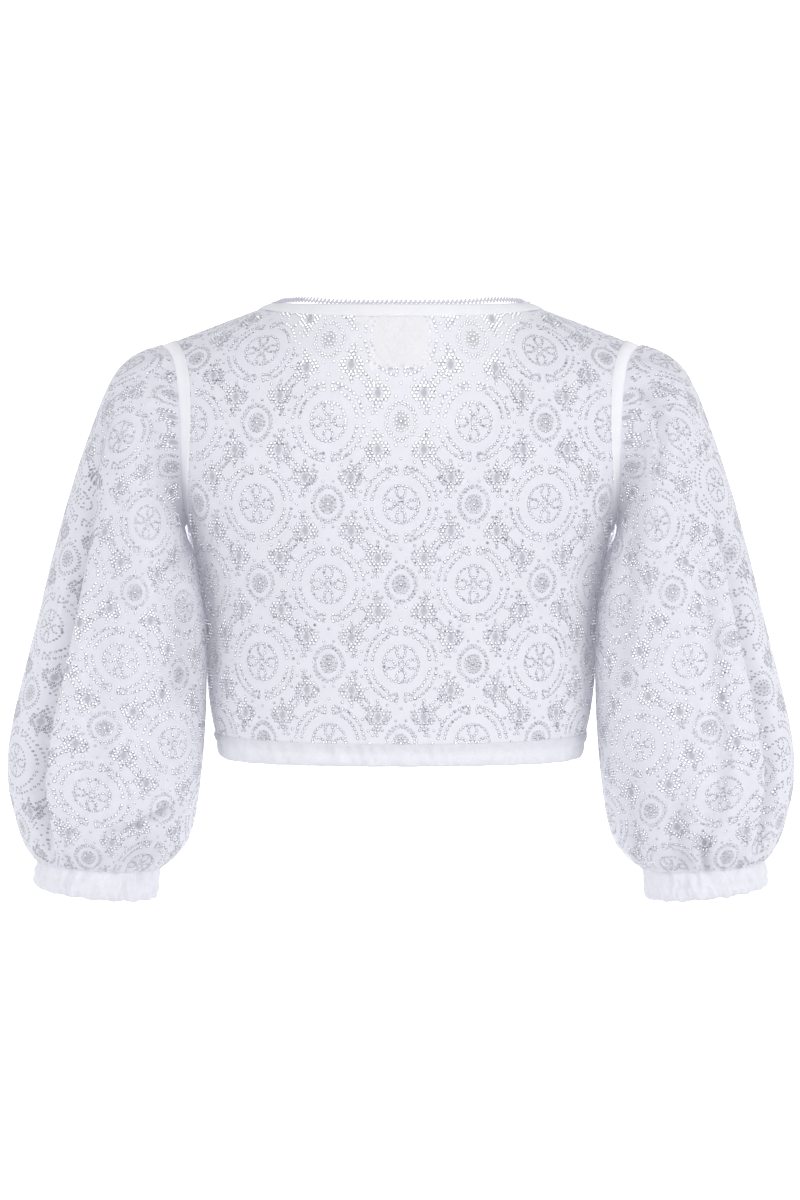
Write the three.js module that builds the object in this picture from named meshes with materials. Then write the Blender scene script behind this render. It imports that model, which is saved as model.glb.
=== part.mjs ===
// A cropped dirndl blouse in lace, filled out as it is worn and open at the neck, hem and cuffs.
// Millimetres. +X is the wearer's right, +Y the wearer's front, +Z up. The origin is the middle of the
// neck opening, level with the neck ends of the shoulder seams, where the shoulders carry the blouse.
import * as THREE from "three";

// Cloth walls and seams
const LACE_WALL = 1.4;
const BINDING_WALL = 1.8;
const CASING_WALL = 2.2;
const PICOT_WALL = 1.2;
const LABEL_WALL = 0.9;
const SEAM_GAP = 0.3;
const LABEL_GAP = 0.8;

// Body: the level of the hem edge, and the level where back and front start to lean over to the shoulder seam
const HEM_Z = -374;
const HEM_CASING_HEIGHT = 18;
const ARCH_Z = -150;
const ARCH_RUN = ARCH_Z - HEM_Z;
const ARCH_REACH = 105;

// Shoulder line: straight out to the shoulder point, and carried on over the neck opening by a soft crown
const RIDGE_MIDDLE_Z = 24.9;
const RIDGE_SLOPE = 0.402;
const RIDGE_ROUND = 50;
const CROWN_HEIGHT = 55;

// Neck opening, at the top edge of the binding
const NECK_HALF_WIDTH = 106;
const NECK_BACK_Z = -4;
const NECK_FRONT_Z = -128;
const NECK_BACK_CURVE = 3;
const NECK_FRONT_CURVE = 2.5;
const BINDING_WIDTH = 11;
const BINDING_DROP = 9.5;
const PICOT_HEIGHT = 5;

// Armhole: an oval seen from the side, and how far each of its ends grows to the band's body edge
const ARMHOLE = { top: -36.3, bottom: -185, halfDepth: 50 };
const ARM_BAND = { top: 4.6, bottom: 10, halfDepth: 10 };
const ARM_BAND_WIDTH = 10;

// Blank labels inside the back neck: left and right edge, top and bottom edge
const NECK_LABEL = { left: -23, right: 23, top: -10.2, bottom: -54 };
const SIZE_TAB = { left: -37, right: -24, top: -10.2, bottom: -20 };

// Gathers: waves round each edge, how deep they are there, and how far they run before they fade
const HEM_GATHERS = { waves: 28, depth: 0.9, fade: 26 };
const CUFF_GATHERS = { waves: 16, depth: 2.6, fade: 2.6 };
const HEAD_GATHERS = { waves: 10, depth: 1.8, fade: 2.2 };

// Sections of the body, by the length of cloth above the hem edge
const BODY_SECTIONS = [
  { run: 0, halfWidth: 148, back: 97, front: 97, squareness: 2.1 },
  { run: 18, halfWidth: 154, back: 98.5, front: 99, squareness: 2.1 },
  { run: 40, halfWidth: 158.5, back: 101, front: 105, squareness: 2.15 },
  { run: 70, halfWidth: 161.5, back: 103, front: 114, squareness: 2.2 },
  { run: 125, halfWidth: 164, back: 106, front: 125, squareness: 2.3 },
  { run: 176, halfWidth: 172, back: 109, front: 122, squareness: 2.6 },
  { run: 221, halfWidth: 183, back: 110, front: 112, squareness: 2.9 },
  { run: 265, halfWidth: 190, back: 109, front: 105, squareness: 3 },
  { run: 320, halfWidth: 199, back: 106, front: 101, squareness: 3 },
  { run: 430, halfWidth: 208, back: 104, front: 98, squareness: 3 },
];

// Sections of a sleeve from the armhole to the cuff seam: its outer and inner point seen from behind, and
// how far its inner point stands behind the middle, where the full sleeve lies round the side of the back
const SLEEVE_SECTIONS = [
  { outerX: 196.5, outerZ: -36.5, innerX: 175, innerZ: -185.5, halfDepth: 50, innerBack: 0 },
  { outerX: 207, outerZ: -38, innerX: 177.5, innerZ: -190, halfDepth: 58, innerBack: 0 },
  { outerX: 220.5, outerZ: -44.5, innerX: 176.5, innerZ: -196, halfDepth: 65, innerBack: 4 },
  { outerX: 234, outerZ: -56.5, innerX: 173.5, innerZ: -203, halfDepth: 69, innerBack: 12 },
  { outerX: 245.5, outerZ: -77.5, innerX: 169.5, innerZ: -212, halfDepth: 72, innerBack: 22 },
  { outerX: 255, outerZ: -102, innerX: 166, innerZ: -223, halfDepth: 73, innerBack: 30 },
  { outerX: 265.5, outerZ: -131, innerX: 163, innerZ: -237, halfDepth: 73, innerBack: 35 },
  { outerX: 277, outerZ: -168, innerX: 161, innerZ: -256, halfDepth: 72, innerBack: 37 },
  { outerX: 289, outerZ: -211, innerX: 159.5, innerZ: -280, halfDepth: 70, innerBack: 36 },
  { outerX: 300, outerZ: -256, innerX: 159.5, innerZ: -307, halfDepth: 68, innerBack: 32 },
  { outerX: 311.5, outerZ: -300, innerX: 160.5, innerZ: -335, halfDepth: 67, innerBack: 26 },
  { outerX: 321, outerZ: -338, innerX: 162.5, innerZ: -362, halfDepth: 66, innerBack: 19 },
  { outerX: 327, outerZ: -372, innerX: 165, innerZ: -387, halfDepth: 65, innerBack: 12 },
  { outerX: 327, outerZ: -400, innerX: 168, innerZ: -409, halfDepth: 64, innerBack: 7 },
  { outerX: 322.5, outerZ: -423, innerX: 171.5, innerZ: -429, halfDepth: 61, innerBack: 4 },
  { outerX: 317.5, outerZ: -441, innerX: 178, innerZ: -448, halfDepth: 56, innerBack: 2 },
  { outerX: 311, outerZ: -455, innerX: 189, innerZ: -461.5, halfDepth: 49, innerBack: 0 },
  { outerX: 303.5, outerZ: -464, innerX: 201, innerZ: -471, halfDepth: 43, innerBack: 0 },
];
const SLEEVE_BLEND = 2.2; // sections over which the armhole's own curve gives way to the table's ovals
const CUFF_HEIGHT = 21;

// Creases of the sleeves. Round the sleeve 0 is the outer edge, 90 the back, 180 the inner edge, 270 the
// front. Sections are rows of the table above; a crease drifts by that angle as it runs down.
const RIGHT_CREASES = [
  { angle: 62, drift: 6, from: 5, to: 16, width: 9, depth: -4.5 },
  { angle: 84, drift: -4, from: 4, to: 15, width: 12, depth: 2.6 },
  { angle: 118, drift: 22, from: 3, to: 10, width: 11, depth: -3.6 },
  { angle: 150, drift: -8, from: 2, to: 8, width: 12, depth: 2.4 },
  { angle: 98, drift: 3, from: 12.5, to: 17.5, width: 6, depth: -4 },
  { angle: 40, drift: -6, from: 8, to: 16, width: 9, depth: 2.2 },
  { angle: 250, drift: 10, from: 3, to: 12, width: 11, depth: -4 },
  { angle: 292, drift: -8, from: 6, to: 16, width: 10, depth: -3.5 },
  { angle: 325, drift: 5, from: 4, to: 13, width: 12, depth: 2.6 },
  { angle: 215, drift: -6, from: 9, to: 16, width: 10, depth: -2.6 },
];
const LEFT_CREASES = [
  { angle: 60, drift: 12, from: 4.5, to: 16.5, width: 9, depth: -5 },
  { angle: 82, drift: 6, from: 5, to: 15, width: 13, depth: 3 },
  { angle: 152, drift: -30, from: 3, to: 9, width: 11, depth: -4.2 },
  { angle: 128, drift: -6, from: 12.8, to: 16.6, width: 12, depth: -3.2 },
  { angle: 105, drift: 26, from: 13.2, to: 16, width: 10, depth: 2.4 },
  { angle: 30, drift: 4, from: 9, to: 16, width: 10, depth: 2 },
  { angle: 244, drift: 6, from: 3, to: 11, width: 12, depth: -3.6 },
  { angle: 285, drift: -6, from: 7, to: 16, width: 10, depth: -4 },
  { angle: 330, drift: 8, from: 3, to: 12, width: 12, depth: 2.4 },
  { angle: 210, drift: 4, from: 8, to: 15, width: 11, depth: -2.4 },
];

// Creases of the body. Across is 0 at the centre line and 1 at the side seam, run is up from the hem edge.
const BODY_CREASES = [
  { face: "back", side: -1, across: 0.86, drift: -0.06, from: 30, to: 190, width: 0.05, depth: -2.6 },
  { face: "back", side: 1, across: 0.83, drift: 0.04, from: 40, to: 200, width: 0.05, depth: -2.4 },
  { face: "back", side: 1, across: 0.68, drift: -0.05, from: 20, to: 120, width: 0.06, depth: -1.6 },
  { face: "back", side: -1, across: 0.62, drift: 0.05, from: 20, to: 110, width: 0.06, depth: -1.4 },
  { face: "front", side: -1, across: 0.8, drift: -0.1, from: 25, to: 170, width: 0.06, depth: -2.8 },
  { face: "front", side: 1, across: 0.78, drift: -0.08, from: 25, to: 180, width: 0.06, depth: -2.6 },
  { face: "front", side: -1, across: 0.42, drift: 0.05, from: 18, to: 90, width: 0.05, depth: -1.8 },
  { face: "front", side: 1, across: 0.36, drift: -0.04, from: 18, to: 95, width: 0.05, depth: -2 },
];

const COLOURS = { lace: 0xe7e8f3, plain: 0xf3f3f8, elastic: 0xefeff6, label: 0xf8f8fa };
const HALF_TURN = Math.PI;
const TURN = 2 * Math.PI;

function smoothStep(low, high, value) {
  const t = THREE.MathUtils.clamp((value - low) / (high - low), 0, 1);
  return t * t * (3 - 2 * t);
}

// A smooth curve through one column of a table, by the column that orders its rows.
function columnCurve(rows, name, order) {
  const x = rows.map((row, index) => (order ? row[order] : index));
  const y = rows.map((row) => row[name]);
  const last = rows.length - 1;
  const slope = y.map((_, i) => {
    const low = Math.max(i - 1, 0);
    const high = Math.min(i + 1, last);
    return (y[high] - y[low]) / (x[high] - x[low]);
  });
  return (at) => {
    const value = THREE.MathUtils.clamp(at, x[0], x[last]);
    let i = 0;
    while (i < last - 1 && value > x[i + 1]) i += 1;
    const span = x[i + 1] - x[i];
    const t = (value - x[i]) / span;
    const t2 = t * t;
    const t3 = t2 * t;
    return (
      (2 * t3 - 3 * t2 + 1) * y[i] +
      (t3 - 2 * t2 + t) * span * slope[i] +
      (3 * t2 - 2 * t3) * y[i + 1] +
      (t3 - t2) * span * slope[i + 1]
    );
  };
}

// Halves an interval until the falling function in it crosses zero.
function crossing(falling, low, high) {
  let [a, b] = [low, high];
  for (let step = 0; step < 40; step += 1) {
    const middle = (a + b) / 2;
    if (falling(middle) > 0) a = middle;
    else b = middle;
  }
  return (a + b) / 2;
}

// Length of a quarter oval's arc up to an angle, and back: its speed falls from first to last.
function arcLength(angle, first, last) {
  return first * angle - ((first - last) * angle * angle) / HALF_TURN;
}
function arcAngle(length, first, last) {
  const lost = first - last;
  if (Math.abs(lost) < 1e-6) return length / first;
  const root = Math.sqrt(Math.max(first * first - (4 * lost * length) / HALF_TURN, last * last));
  return ((first - root) * HALF_TURN) / (2 * lost);
}

const bodyHalfWidth = columnCurve(BODY_SECTIONS, "halfWidth", "run");
const bodyDepth = {
  back: columnCurve(BODY_SECTIONS, "back", "run"),
  front: columnCurve(BODY_SECTIONS, "front", "run"),
};
const bodySquareness = columnCurve(BODY_SECTIONS, "squareness", "run");

function ridgeZ(x) {
  const crown = CROWN_HEIGHT * Math.max(1 - (x / NECK_HALF_WIDTH) ** 2, 0) ** 2;
  return RIDGE_MIDDLE_Z - RIDGE_SLOPE * (Math.hypot(x, RIDGE_ROUND) - RIDGE_ROUND) + crown;
}

function bodySection(run, face) {
  return { a: bodyHalfWidth(run), b: bodyDepth[face](run), n: bodySquareness(run) };
}

// The share of the way from centre line to side seam, as a compass angle in the plan of a section.
const ACROSS_STEPS = 180;
const acrossTable = (() => {
  const { a, b, n } = bodySection(200, "back");
  const points = Array.from({ length: ACROSS_STEPS + 1 }, (_, i) => {
    const angle = (i / ACROSS_STEPS) * (HALF_TURN / 2);
    const radius = ((Math.sin(angle) / a) ** n + (Math.cos(angle) / b) ** n) ** (-1 / n);
    return [radius * Math.sin(angle), radius * Math.cos(angle)];
  });
  const lengths = [0];
  for (let i = 1; i <= ACROSS_STEPS; i += 1) {
    const step = Math.hypot(points[i][0] - points[i - 1][0], points[i][1] - points[i - 1][1]);
    lengths.push(lengths[i - 1] + step);
  }
  return lengths.map((length) => length / lengths[ACROSS_STEPS]);
})();
function compassAngle(across) {
  const share = THREE.MathUtils.clamp(across, 0, 1);
  let i = 0;
  while (i < ACROSS_STEPS - 1 && acrossTable[i + 1] < share) i += 1;
  const t = (share - acrossTable[i]) / (acrossTable[i + 1] - acrossTable[i]);
  return ((i + t) / ACROSS_STEPS) * (HALF_TURN / 2);
}
function acrossShare(angle) {
  const at = THREE.MathUtils.clamp(angle / (HALF_TURN / 2), 0, 1) * ACROSS_STEPS;
  const i = Math.min(Math.floor(at), ACROSS_STEPS - 1);
  return acrossTable[i] + (acrossTable[i + 1] - acrossTable[i]) * (at - i);
}

// A point of the body's smooth form: across is -1 to 1 between the side seams, run is up the cloth.
function formPoint(across, run, face) {
  const { a, b, n } = bodySection(run, face);
  const angle = compassAngle(Math.abs(across));
  const radius = ((Math.sin(angle) / a) ** n + (Math.cos(angle) / b) ** n) ** (-1 / n);
  const x = Math.sign(across) * radius * Math.sin(angle);
  const outward = face === "back" ? -1 : 1;
  if (run <= ARCH_RUN) {
    return new THREE.Vector3(x, outward * radius * Math.cos(angle), HEM_Z + run);
  }
  const rise = ridgeZ(x) - ARCH_Z;
  const lean = Math.min(arcAngle(run - ARCH_RUN, rise, ARCH_REACH), HALF_TURN / 2);
  const y = outward * radius * Math.cos(angle) * Math.cos(lean);
  return new THREE.Vector3(x, y, ARCH_Z + rise * Math.sin(lean));
}

// The length of cloth up to height z on the meridian through x, and how far it leans there.
function runAt(x, z) {
  if (z <= ARCH_Z) return { run: z - HEM_Z, lean: 0 };
  const rise = ridgeZ(x) - ARCH_Z;
  const lean = Math.asin(Math.min((z - ARCH_Z) / rise, 1));
  return { run: ARCH_RUN + arcLength(lean, rise, ARCH_REACH), lean };
}
function planY(x, run, face) {
  const { a, b, n } = bodySection(run, face);
  return b * Math.max(1 - (Math.abs(x) / a) ** n, 0) ** (1 / n);
}

// Where a point seen from the front or back (x, z) lies on the panel.
function panelSpot(x, z, face) {
  const { run } = runAt(x, z);
  return { across: Math.sign(x) * acrossShare(Math.atan2(Math.abs(x), planY(x, run, face))), run };
}
// Where a point seen from the side (y, z) lies: its distance out from the middle.
function sideX(y, z, face) {
  const excess = (x) => {
    const { run, lean } = runAt(x, z);
    return planY(x, run, face) * Math.cos(lean) - Math.abs(y);
  };
  const reach = ridgeZ(0) > z && z > ARCH_Z ? crossing((x) => ridgeZ(x) - z, 0, 260) : 260;
  return crossing(excess, 0, reach);
}

// Height of a neck line that meets the shoulder line this far outside the binding's top edge.
function neckZ(x, inset, face) {
  const half = NECK_HALF_WIDTH + inset;
  const middle = (face === "back" ? NECK_BACK_Z : NECK_FRONT_Z) - (inset * BINDING_DROP) / BINDING_WIDTH;
  const curve = face === "back" ? NECK_BACK_CURVE : NECK_FRONT_CURVE;
  return middle + (ridgeZ(half) - middle) * Math.min(Math.abs(x) / half, 1) ** curve;
}
// A point round a neck line: 0 to 0.5 runs along the back from left to right, 0.5 to 1 along the front.
function neckPoint(round, inset) {
  const turn = round - Math.floor(round);
  const face = turn < 0.5 ? "back" : "front";
  const x = -(NECK_HALF_WIDTH + inset) * Math.cos(TURN * turn);
  const z = Math.min(neckZ(x, inset, face), ridgeZ(x));
  const { run, lean } = runAt(x, z);
  const y = (face === "back" ? -1 : 1) * planY(x, run, face) * Math.cos(lean);
  return new THREE.Vector3(x, y, z);
}

// A point round an armhole line: angle 0 is the shoulder, 90 degrees the back. Grown is 0 at the sleeve
// seam and 1 at the body edge of the band.
function armholeView(angle, grown) {
  const top = ARMHOLE.top + ARM_BAND.top * grown;
  const bottom = ARMHOLE.bottom - ARM_BAND.bottom * grown;
  const halfDepth = ARMHOLE.halfDepth + ARM_BAND.halfDepth * grown;
  const z = (top + bottom) / 2 + ((top - bottom) / 2) * Math.cos(angle);
  return { y: -halfDepth * Math.sin(angle), z };
}
function armholePoint(side, angle, grown) {
  const { y, z } = armholeView(angle, grown);
  const face = y < 0 ? "back" : "front";
  return new THREE.Vector3(side * sideX(y, z, face), y, z);
}

// How far soft creases and the gathers at the hem move the body's cloth outwards.
function bodyFold(across, run, face) {
  const creases = BODY_CREASES.filter((c) => c.face === face && c.side * across > 0).map((crease) => {
    const t = (run - crease.from) / (crease.to - crease.from);
    const middle = crease.across + crease.drift * t;
    const swell = smoothStep(0, 0.35, t) * (1 - smoothStep(0.6, 1, t));
    return crease.depth * swell * Math.exp(-(((Math.abs(across) - middle) / crease.width) ** 2));
  });
  const total = creases.reduce((sum, value) => sum + value, 0);
  return total + hemGather(across, run, face);
}
function hemGather(across, run, face) {
  const turn = face === "back" ? across / 4 : 0.5 - across / 4;
  const fade = Math.exp(-run / HEM_GATHERS.fade);
  const wave = Math.sin(TURN * HEM_GATHERS.waves * turn + 0.8 * Math.sin(TURN * 3 * turn));
  return HEM_GATHERS.depth * fade * wave;
}
function bodyPoint(across, run, face) {
  const point = formPoint(across, run, face);
  const outward = new THREE.Vector3(point.x, point.y * 2.2, 0).normalize();
  return point.addScaledVector(outward, bodyFold(across, run, face));
}

const sleeveCurves = Object.fromEntries(
  Object.keys(SLEEVE_SECTIONS[0]).map((name) => [name, columnCurve(SLEEVE_SECTIONS, name)]),
);
const SLEEVE_ROWS = SLEEVE_SECTIONS.length - 1;

function sleeveOval(side, angle, row) {
  const at = (name) => sleeveCurves[name](row);
  const centre = new THREE.Vector3((at("outerX") + at("innerX")) / 2, 0, (at("outerZ") + at("innerZ")) / 2);
  const reach = new THREE.Vector3((at("outerX") - at("innerX")) / 2, 0, (at("outerZ") - at("innerZ")) / 2);
  const point = centre.clone().addScaledVector(reach, Math.cos(angle));
  point.y = -at("halfDepth") * Math.sin(angle) - (at("innerBack") * (1 - Math.cos(angle))) / 2;
  centre.y = -at("innerBack") / 2;
  point.x *= side;
  centre.x *= side;
  return { point, centre };
}
function sleeveFold(side, angle, row) {
  const degrees = THREE.MathUtils.radToDeg(angle);
  const creases = (side > 0 ? RIGHT_CREASES : LEFT_CREASES).map((crease) => {
    const t = (row - crease.from) / (crease.to - crease.from);
    const swell = smoothStep(0, 0.3, t) * (1 - smoothStep(0.72, 1, t));
    const away = ((degrees - crease.angle - crease.drift * t + 540) % 360) - 180;
    return crease.depth * swell * Math.exp(-((away / crease.width) ** 2));
  });
  const phase = side > 0 ? 0.4 : 1.3;
  const cuff = CUFF_GATHERS.depth * Math.exp(-(SLEEVE_ROWS - row) / CUFF_GATHERS.fade);
  const cuffWave = Math.sin(CUFF_GATHERS.waves * angle + phase + 0.9 * Math.sin(3 * angle + phase));
  const onTop = smoothStep(-0.1, 0.8, Math.cos(angle));
  const start = smoothStep(0, 0.7, row);
  const head = HEAD_GATHERS.depth * onTop * start * Math.exp(-row / HEAD_GATHERS.fade);
  const headWave = Math.sin(HEAD_GATHERS.waves * angle + 2 * phase);
  return creases.reduce((sum, value) => sum + value, 0) + cuff * cuffWave + head * headWave;
}
// A point of a sleeve: angle round it, and its row in the table of sections.
function sleevePoint(side, angle, row) {
  const { point, centre } = sleeveOval(side, angle, row);
  const outward = point.clone().sub(centre).normalize();
  if (row < SLEEVE_BLEND) {
    const own = armholePoint(side, angle, -SEAM_GAP / ARM_BAND_WIDTH);
    point.lerpVectors(own, point.clone(), smoothStep(0, SLEEVE_BLEND, row));
  }
  return point.addScaledVector(outward, sleeveFold(side, angle, row));
}
// A point of the elasticated cuff casing: down is 0 at its seam and 1 at its edge.
function cuffPoint(side, angle, down) {
  const { point, centre } = sleeveOval(side, angle, SLEEVE_ROWS);
  const outward = point.clone().sub(centre).normalize();
  const wave = sleeveFold(side, angle, SLEEVE_ROWS) * (1 - 0.35 * down);
  const bulge = Math.sin(HALF_TURN * down);
  point.addScaledVector(outward, wave + bulge);
  point.x += side * 1.5 * down;
  point.z -= SEAM_GAP + CUFF_HEIGHT * down + 0.5 * Math.sin(CUFF_GATHERS.waves * angle) * down;
  return point;
}

// The outward normal of a surface of two parameters, away from a point inside it.
function normalAt(surface, u, v, inside, step) {
  const alongU = surface(u + step.u, v).sub(surface(u - step.u, v));
  const alongV = surface(u, v + step.v).sub(surface(u, v - step.v));
  const normal = alongU.cross(alongV).normalize();
  return normal.dot(surface(u, v).sub(inside)) < 0 ? normal.negate() : normal;
}

// Joins two rows of vertex numbers, which may differ in count, with triangles.
function stitch(triangles, lower, upper, closed, turned) {
  const steps = (row) => (closed ? row.length : row.length - 1);
  const at = (row, i) => row[i % row.length];
  const [lowSteps, highSteps] = [steps(lower), steps(upper)];
  let [i, j] = [0, 0];
  while (i < lowSteps || j < highSteps) {
    const lowerNext = i < lowSteps && (j >= highSteps || (i + 1) * highSteps <= (j + 1) * lowSteps);
    const third = lowerNext ? at(lower, i + 1) : at(upper, j + 1);
    const face = [at(lower, i), third, at(upper, j)];
    triangles.push(...(turned ? face.reverse() : face));
    if (lowerNext) i += 1;
    else j += 1;
  }
}

// A cloth wall through rows of points, each with its outer and inner place.
function wallGeometry(rows, closed) {
  const positions = [];
  const triangles = [];
  const number = (point) => {
    positions.push(point.x, point.y, point.z);
    return positions.length / 3 - 1;
  };
  const outer = rows.map((row) => row.map((spot) => number(spot.outer)));
  const inner = rows.map((row) => row.map((spot) => number(spot.inner)));
  for (let k = 0; k + 1 < rows.length; k += 1) {
    stitch(triangles, outer[k], outer[k + 1], closed, false);
    stitch(triangles, inner[k], inner[k + 1], closed, true);
  }
  stitch(triangles, inner[0], outer[0], closed, false);
  stitch(triangles, outer.at(-1), inner.at(-1), closed, false);
  if (!closed) {
    const column = (grid, at) => grid.map((row) => row.at(at));
    stitch(triangles, column(outer, 0), column(inner, 0), false, false);
    stitch(triangles, column(inner, -1), column(outer, -1), false, false);
  }
  const geometry = new THREE.BufferGeometry();
  geometry.setAttribute("position", new THREE.Float32BufferAttribute(positions, 3));
  geometry.setIndex(triangles);
  return facingOut(geometry);
}

// Turns every triangle round if the closed surface encloses a negative volume.
function facingOut(geometry) {
  const place = geometry.getAttribute("position");
  const corner = (i) => new THREE.Vector3().fromBufferAttribute(place, geometry.index.getX(i));
  let volume = 0;
  for (let i = 0; i < geometry.index.count; i += 3) {
    volume += corner(i).dot(corner(i + 1).cross(corner(i + 2)));
  }
  if (volume < 0) {
    const turned = Array.from(geometry.index.array).reverse();
    geometry.setIndex(turned);
  }
  geometry.computeVertexNormals();
  return geometry;
}

// Rows of outer and inner points over a grid of the surface's two parameters.
function wallRows(surface, uValues, vValues, options) {
  const { wall, inside, step } = options;
  return vValues.map((v, k) => {
    const us = typeof uValues === "function" ? uValues(k) : uValues;
    return us.map((u) => {
      const outer = surface(u, v);
      const normal = normalAt(surface, u, v, inside(u, v), step);
      return { outer, inner: outer.clone().addScaledVector(normal, -wall) };
    });
  });
}

function spread(count, low, high, closed) {
  const gaps = closed ? count : count - 1;
  return Array.from({ length: count }, (_, i) => low + ((high - low) * i) / gaps);
}

function clothMesh(name, geometry, colour, roughness) {
  const material = new THREE.MeshStandardMaterial({ color: colour, roughness, metalness: 0 });
  const mesh = new THREE.Mesh(geometry, material);
  mesh.name = name;
  return mesh;
}

// Points round the armhole and round the neck, shared by the pieces that meet there
const ARMHOLE_POINTS = 32;
const NECK_POINTS = 40;

// The edges of a lace panel in its own two measures, across and run.
function hemEdge(across) {
  return { across, run: HEM_CASING_HEIGHT + SEAM_GAP };
}
const armBandSpot = (side, angle, face) => {
  const { y, z } = armholeView(angle, 1 + SEAM_GAP / ARM_BAND_WIDTH);
  return panelSpot(side * sideX(y, z, face), z, face);
};
const SEAM_SHARE = 0.42; // of a panel's side edge that is side seam, the rest being armhole
function sideEdge(side, t, face) {
  const underarm = ARMHOLE.bottom - ARM_BAND.bottom - SEAM_GAP - HEM_Z;
  if (t <= SEAM_SHARE) {
    const start = HEM_CASING_HEIGHT + SEAM_GAP;
    return { across: side * seamShare(underarm), run: start + ((underarm - start) * t) / SEAM_SHARE };
  }
  const up = (t - SEAM_SHARE) / (1 - SEAM_SHARE);
  const most = topAngle(face);
  const angle = HALF_TURN - (HALF_TURN - most) * up;
  const spot = armBandSpot(side, face === "back" ? angle : -angle, face);
  const limit = seamShare(spot.run);
  return { across: side * Math.min(Math.abs(spot.across), limit), run: spot.run };
}
// The side seam stands half a gap behind or in front of the middle, as a share of the way across.
function seamShare() {
  return 1 - SEAM_GAP / 2 / 222;
}
// The angle on the band's body edge where the panel ends, half a gap short of the shoulder seam.
function topAngle() {
  const half = ARMHOLE.halfDepth + ARM_BAND.halfDepth;
  return Math.asin(Math.min((SEAM_GAP / 2 + 0.05) / half, 1)) + 0.004;
}
// The top edge runs along the shoulder seam, round the neck binding and along the other shoulder seam.
const SHOULDER_SHARE = 0.15; // of the top edge that is one shoulder seam
function topEdge(t, face) {
  const side = t < 0.5 ? -1 : 1;
  const fromTip = t < 0.5 ? t : 1 - t;
  const tip = sideEdge(side, 1, face);
  const tipX = Math.abs(formPoint(tip.across, tip.run, face).x);
  const inset = BINDING_WIDTH + SEAM_GAP;
  const corner = NECK_HALF_WIDTH + inset;
  if (fromTip <= SHOULDER_SHARE) {
    const x = tipX + ((corner - tipX) * fromTip) / SHOULDER_SHARE;
    return shoulderSpot(side * x, face);
  }
  const along = (fromTip - SHOULDER_SHARE) / (0.5 - SHOULDER_SHARE);
  const x = corner * Math.cos((along * HALF_TURN) / 2);
  const spot = panelSpot(side * Math.max(x, 1e-6), neckZ(x, inset, face), face);
  const limit = shoulderSpot(side * x, face);
  return spot.run > limit.run ? limit : spot;
}
// The spot half a seam gap down from the shoulder line, at this distance out.
function shoulderSpot(x, face) {
  const rise = ridgeZ(x) - ARCH_Z;
  const plan = planY(x, ARCH_RUN + arcLength(HALF_TURN / 2, rise, ARCH_REACH), face);
  const lean = Math.acos(Math.min(SEAM_GAP / 2 / Math.max(plan, SEAM_GAP), 1));
  return panelSpot(x, ARCH_Z + rise * Math.sin(lean), face);
}

// A panel's inner spots, blended from its four edges.
function panelSpots(columns, rows, face) {
  return rows.map((r) =>
    columns.map((c) => {
      const [left, right] = [sideEdge(-1, r, face), sideEdge(1, r, face)];
      const [low, high] = [hemEdge(THREE.MathUtils.lerp(-1, 1, c) * seamShare()), topEdge(c, face)];
      const [lowLeft, lowRight] = [sideEdge(-1, 0, face), sideEdge(1, 0, face)];
      const [highLeft, highRight] = [sideEdge(-1, 1, face), sideEdge(1, 1, face)];
      const blend = (key) =>
        (1 - c) * left[key] +
        c * right[key] +
        (1 - r) * low[key] +
        r * high[key] -
        (1 - c) * (1 - r) * lowLeft[key] -
        c * (1 - r) * lowRight[key] -
        (1 - c) * r * highLeft[key] -
        c * r * highRight[key];
      return { across: blend("across"), run: blend("run") };
    }),
  );
}

const BODY_MIDDLE = new THREE.Vector3(0, 0, ARCH_Z);
function bodyNormal(across, run, face) {
  const surface = (u, v) => bodyPoint(u, v, face);
  const inside = new THREE.Vector3(0, 0, Math.min(HEM_Z + run, ARCH_Z));
  const u = THREE.MathUtils.clamp(across, -0.995, 0.995);
  const normal = normalAt(surface, u, run, inside, { u: 0.004, v: 0.5 });
  // The hem seam is cut level through the wall.
  return run < HEM_CASING_HEIGHT + 1 ? normal.setZ(0).normalize() : normal;
}

// A front or back of lace.
function lacePanel(name, face) {
  const neck = spread(NECK_POINTS / 2 + 1, SHOULDER_SHARE, 1 - SHOULDER_SHARE);
  const columns = [...spread(4, 0, SHOULDER_SHARE), ...neck.slice(1), ...spread(4, 1 - SHOULDER_SHARE, 1).slice(1)];
  const rows = [...spread(7, 0, SEAM_SHARE), ...spread(ARMHOLE_POINTS / 2 + 1, SEAM_SHARE, 1).slice(1)];
  const wall = panelSpots(columns, rows, face).map((line) =>
    line.map(({ across, run }) => {
      const outer = bodyPoint(across, run, face);
      const normal = bodyNormal(across, run, face);
      const inner = outer.clone().addScaledVector(normal, -LACE_WALL);
      const clear = (face === "back" ? -1 : 1) * (SEAM_GAP / 2);
      for (const point of [outer, inner]) {
        point.y = face === "back" ? Math.min(point.y, clear) : Math.max(point.y, clear);
      }
      return { outer, inner };
    }),
  );
  return clothMesh(name, wallGeometry(wall, false), COLOURS.lace, 0.9);
}

// The elasticated casing round the hem.
function hemCasing() {
  const rows = [0, HEM_CASING_HEIGHT].map((run) =>
    spread(112, 0, 1, true).map((turn) => {
      const face = turn < 0.5 ? "back" : "front";
      const across = face === "back" ? 4 * turn - 1 : 3 - 4 * turn;
      const outer = bodyPoint(across, run, face);
      const inner = outer.clone().addScaledVector(bodyNormal(across, run, face), -CASING_WALL);
      return { outer, inner };
    }),
  );
  return clothMesh("hem_casing", wallGeometry(rows, true), COLOURS.elastic, 0.85);
}

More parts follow.
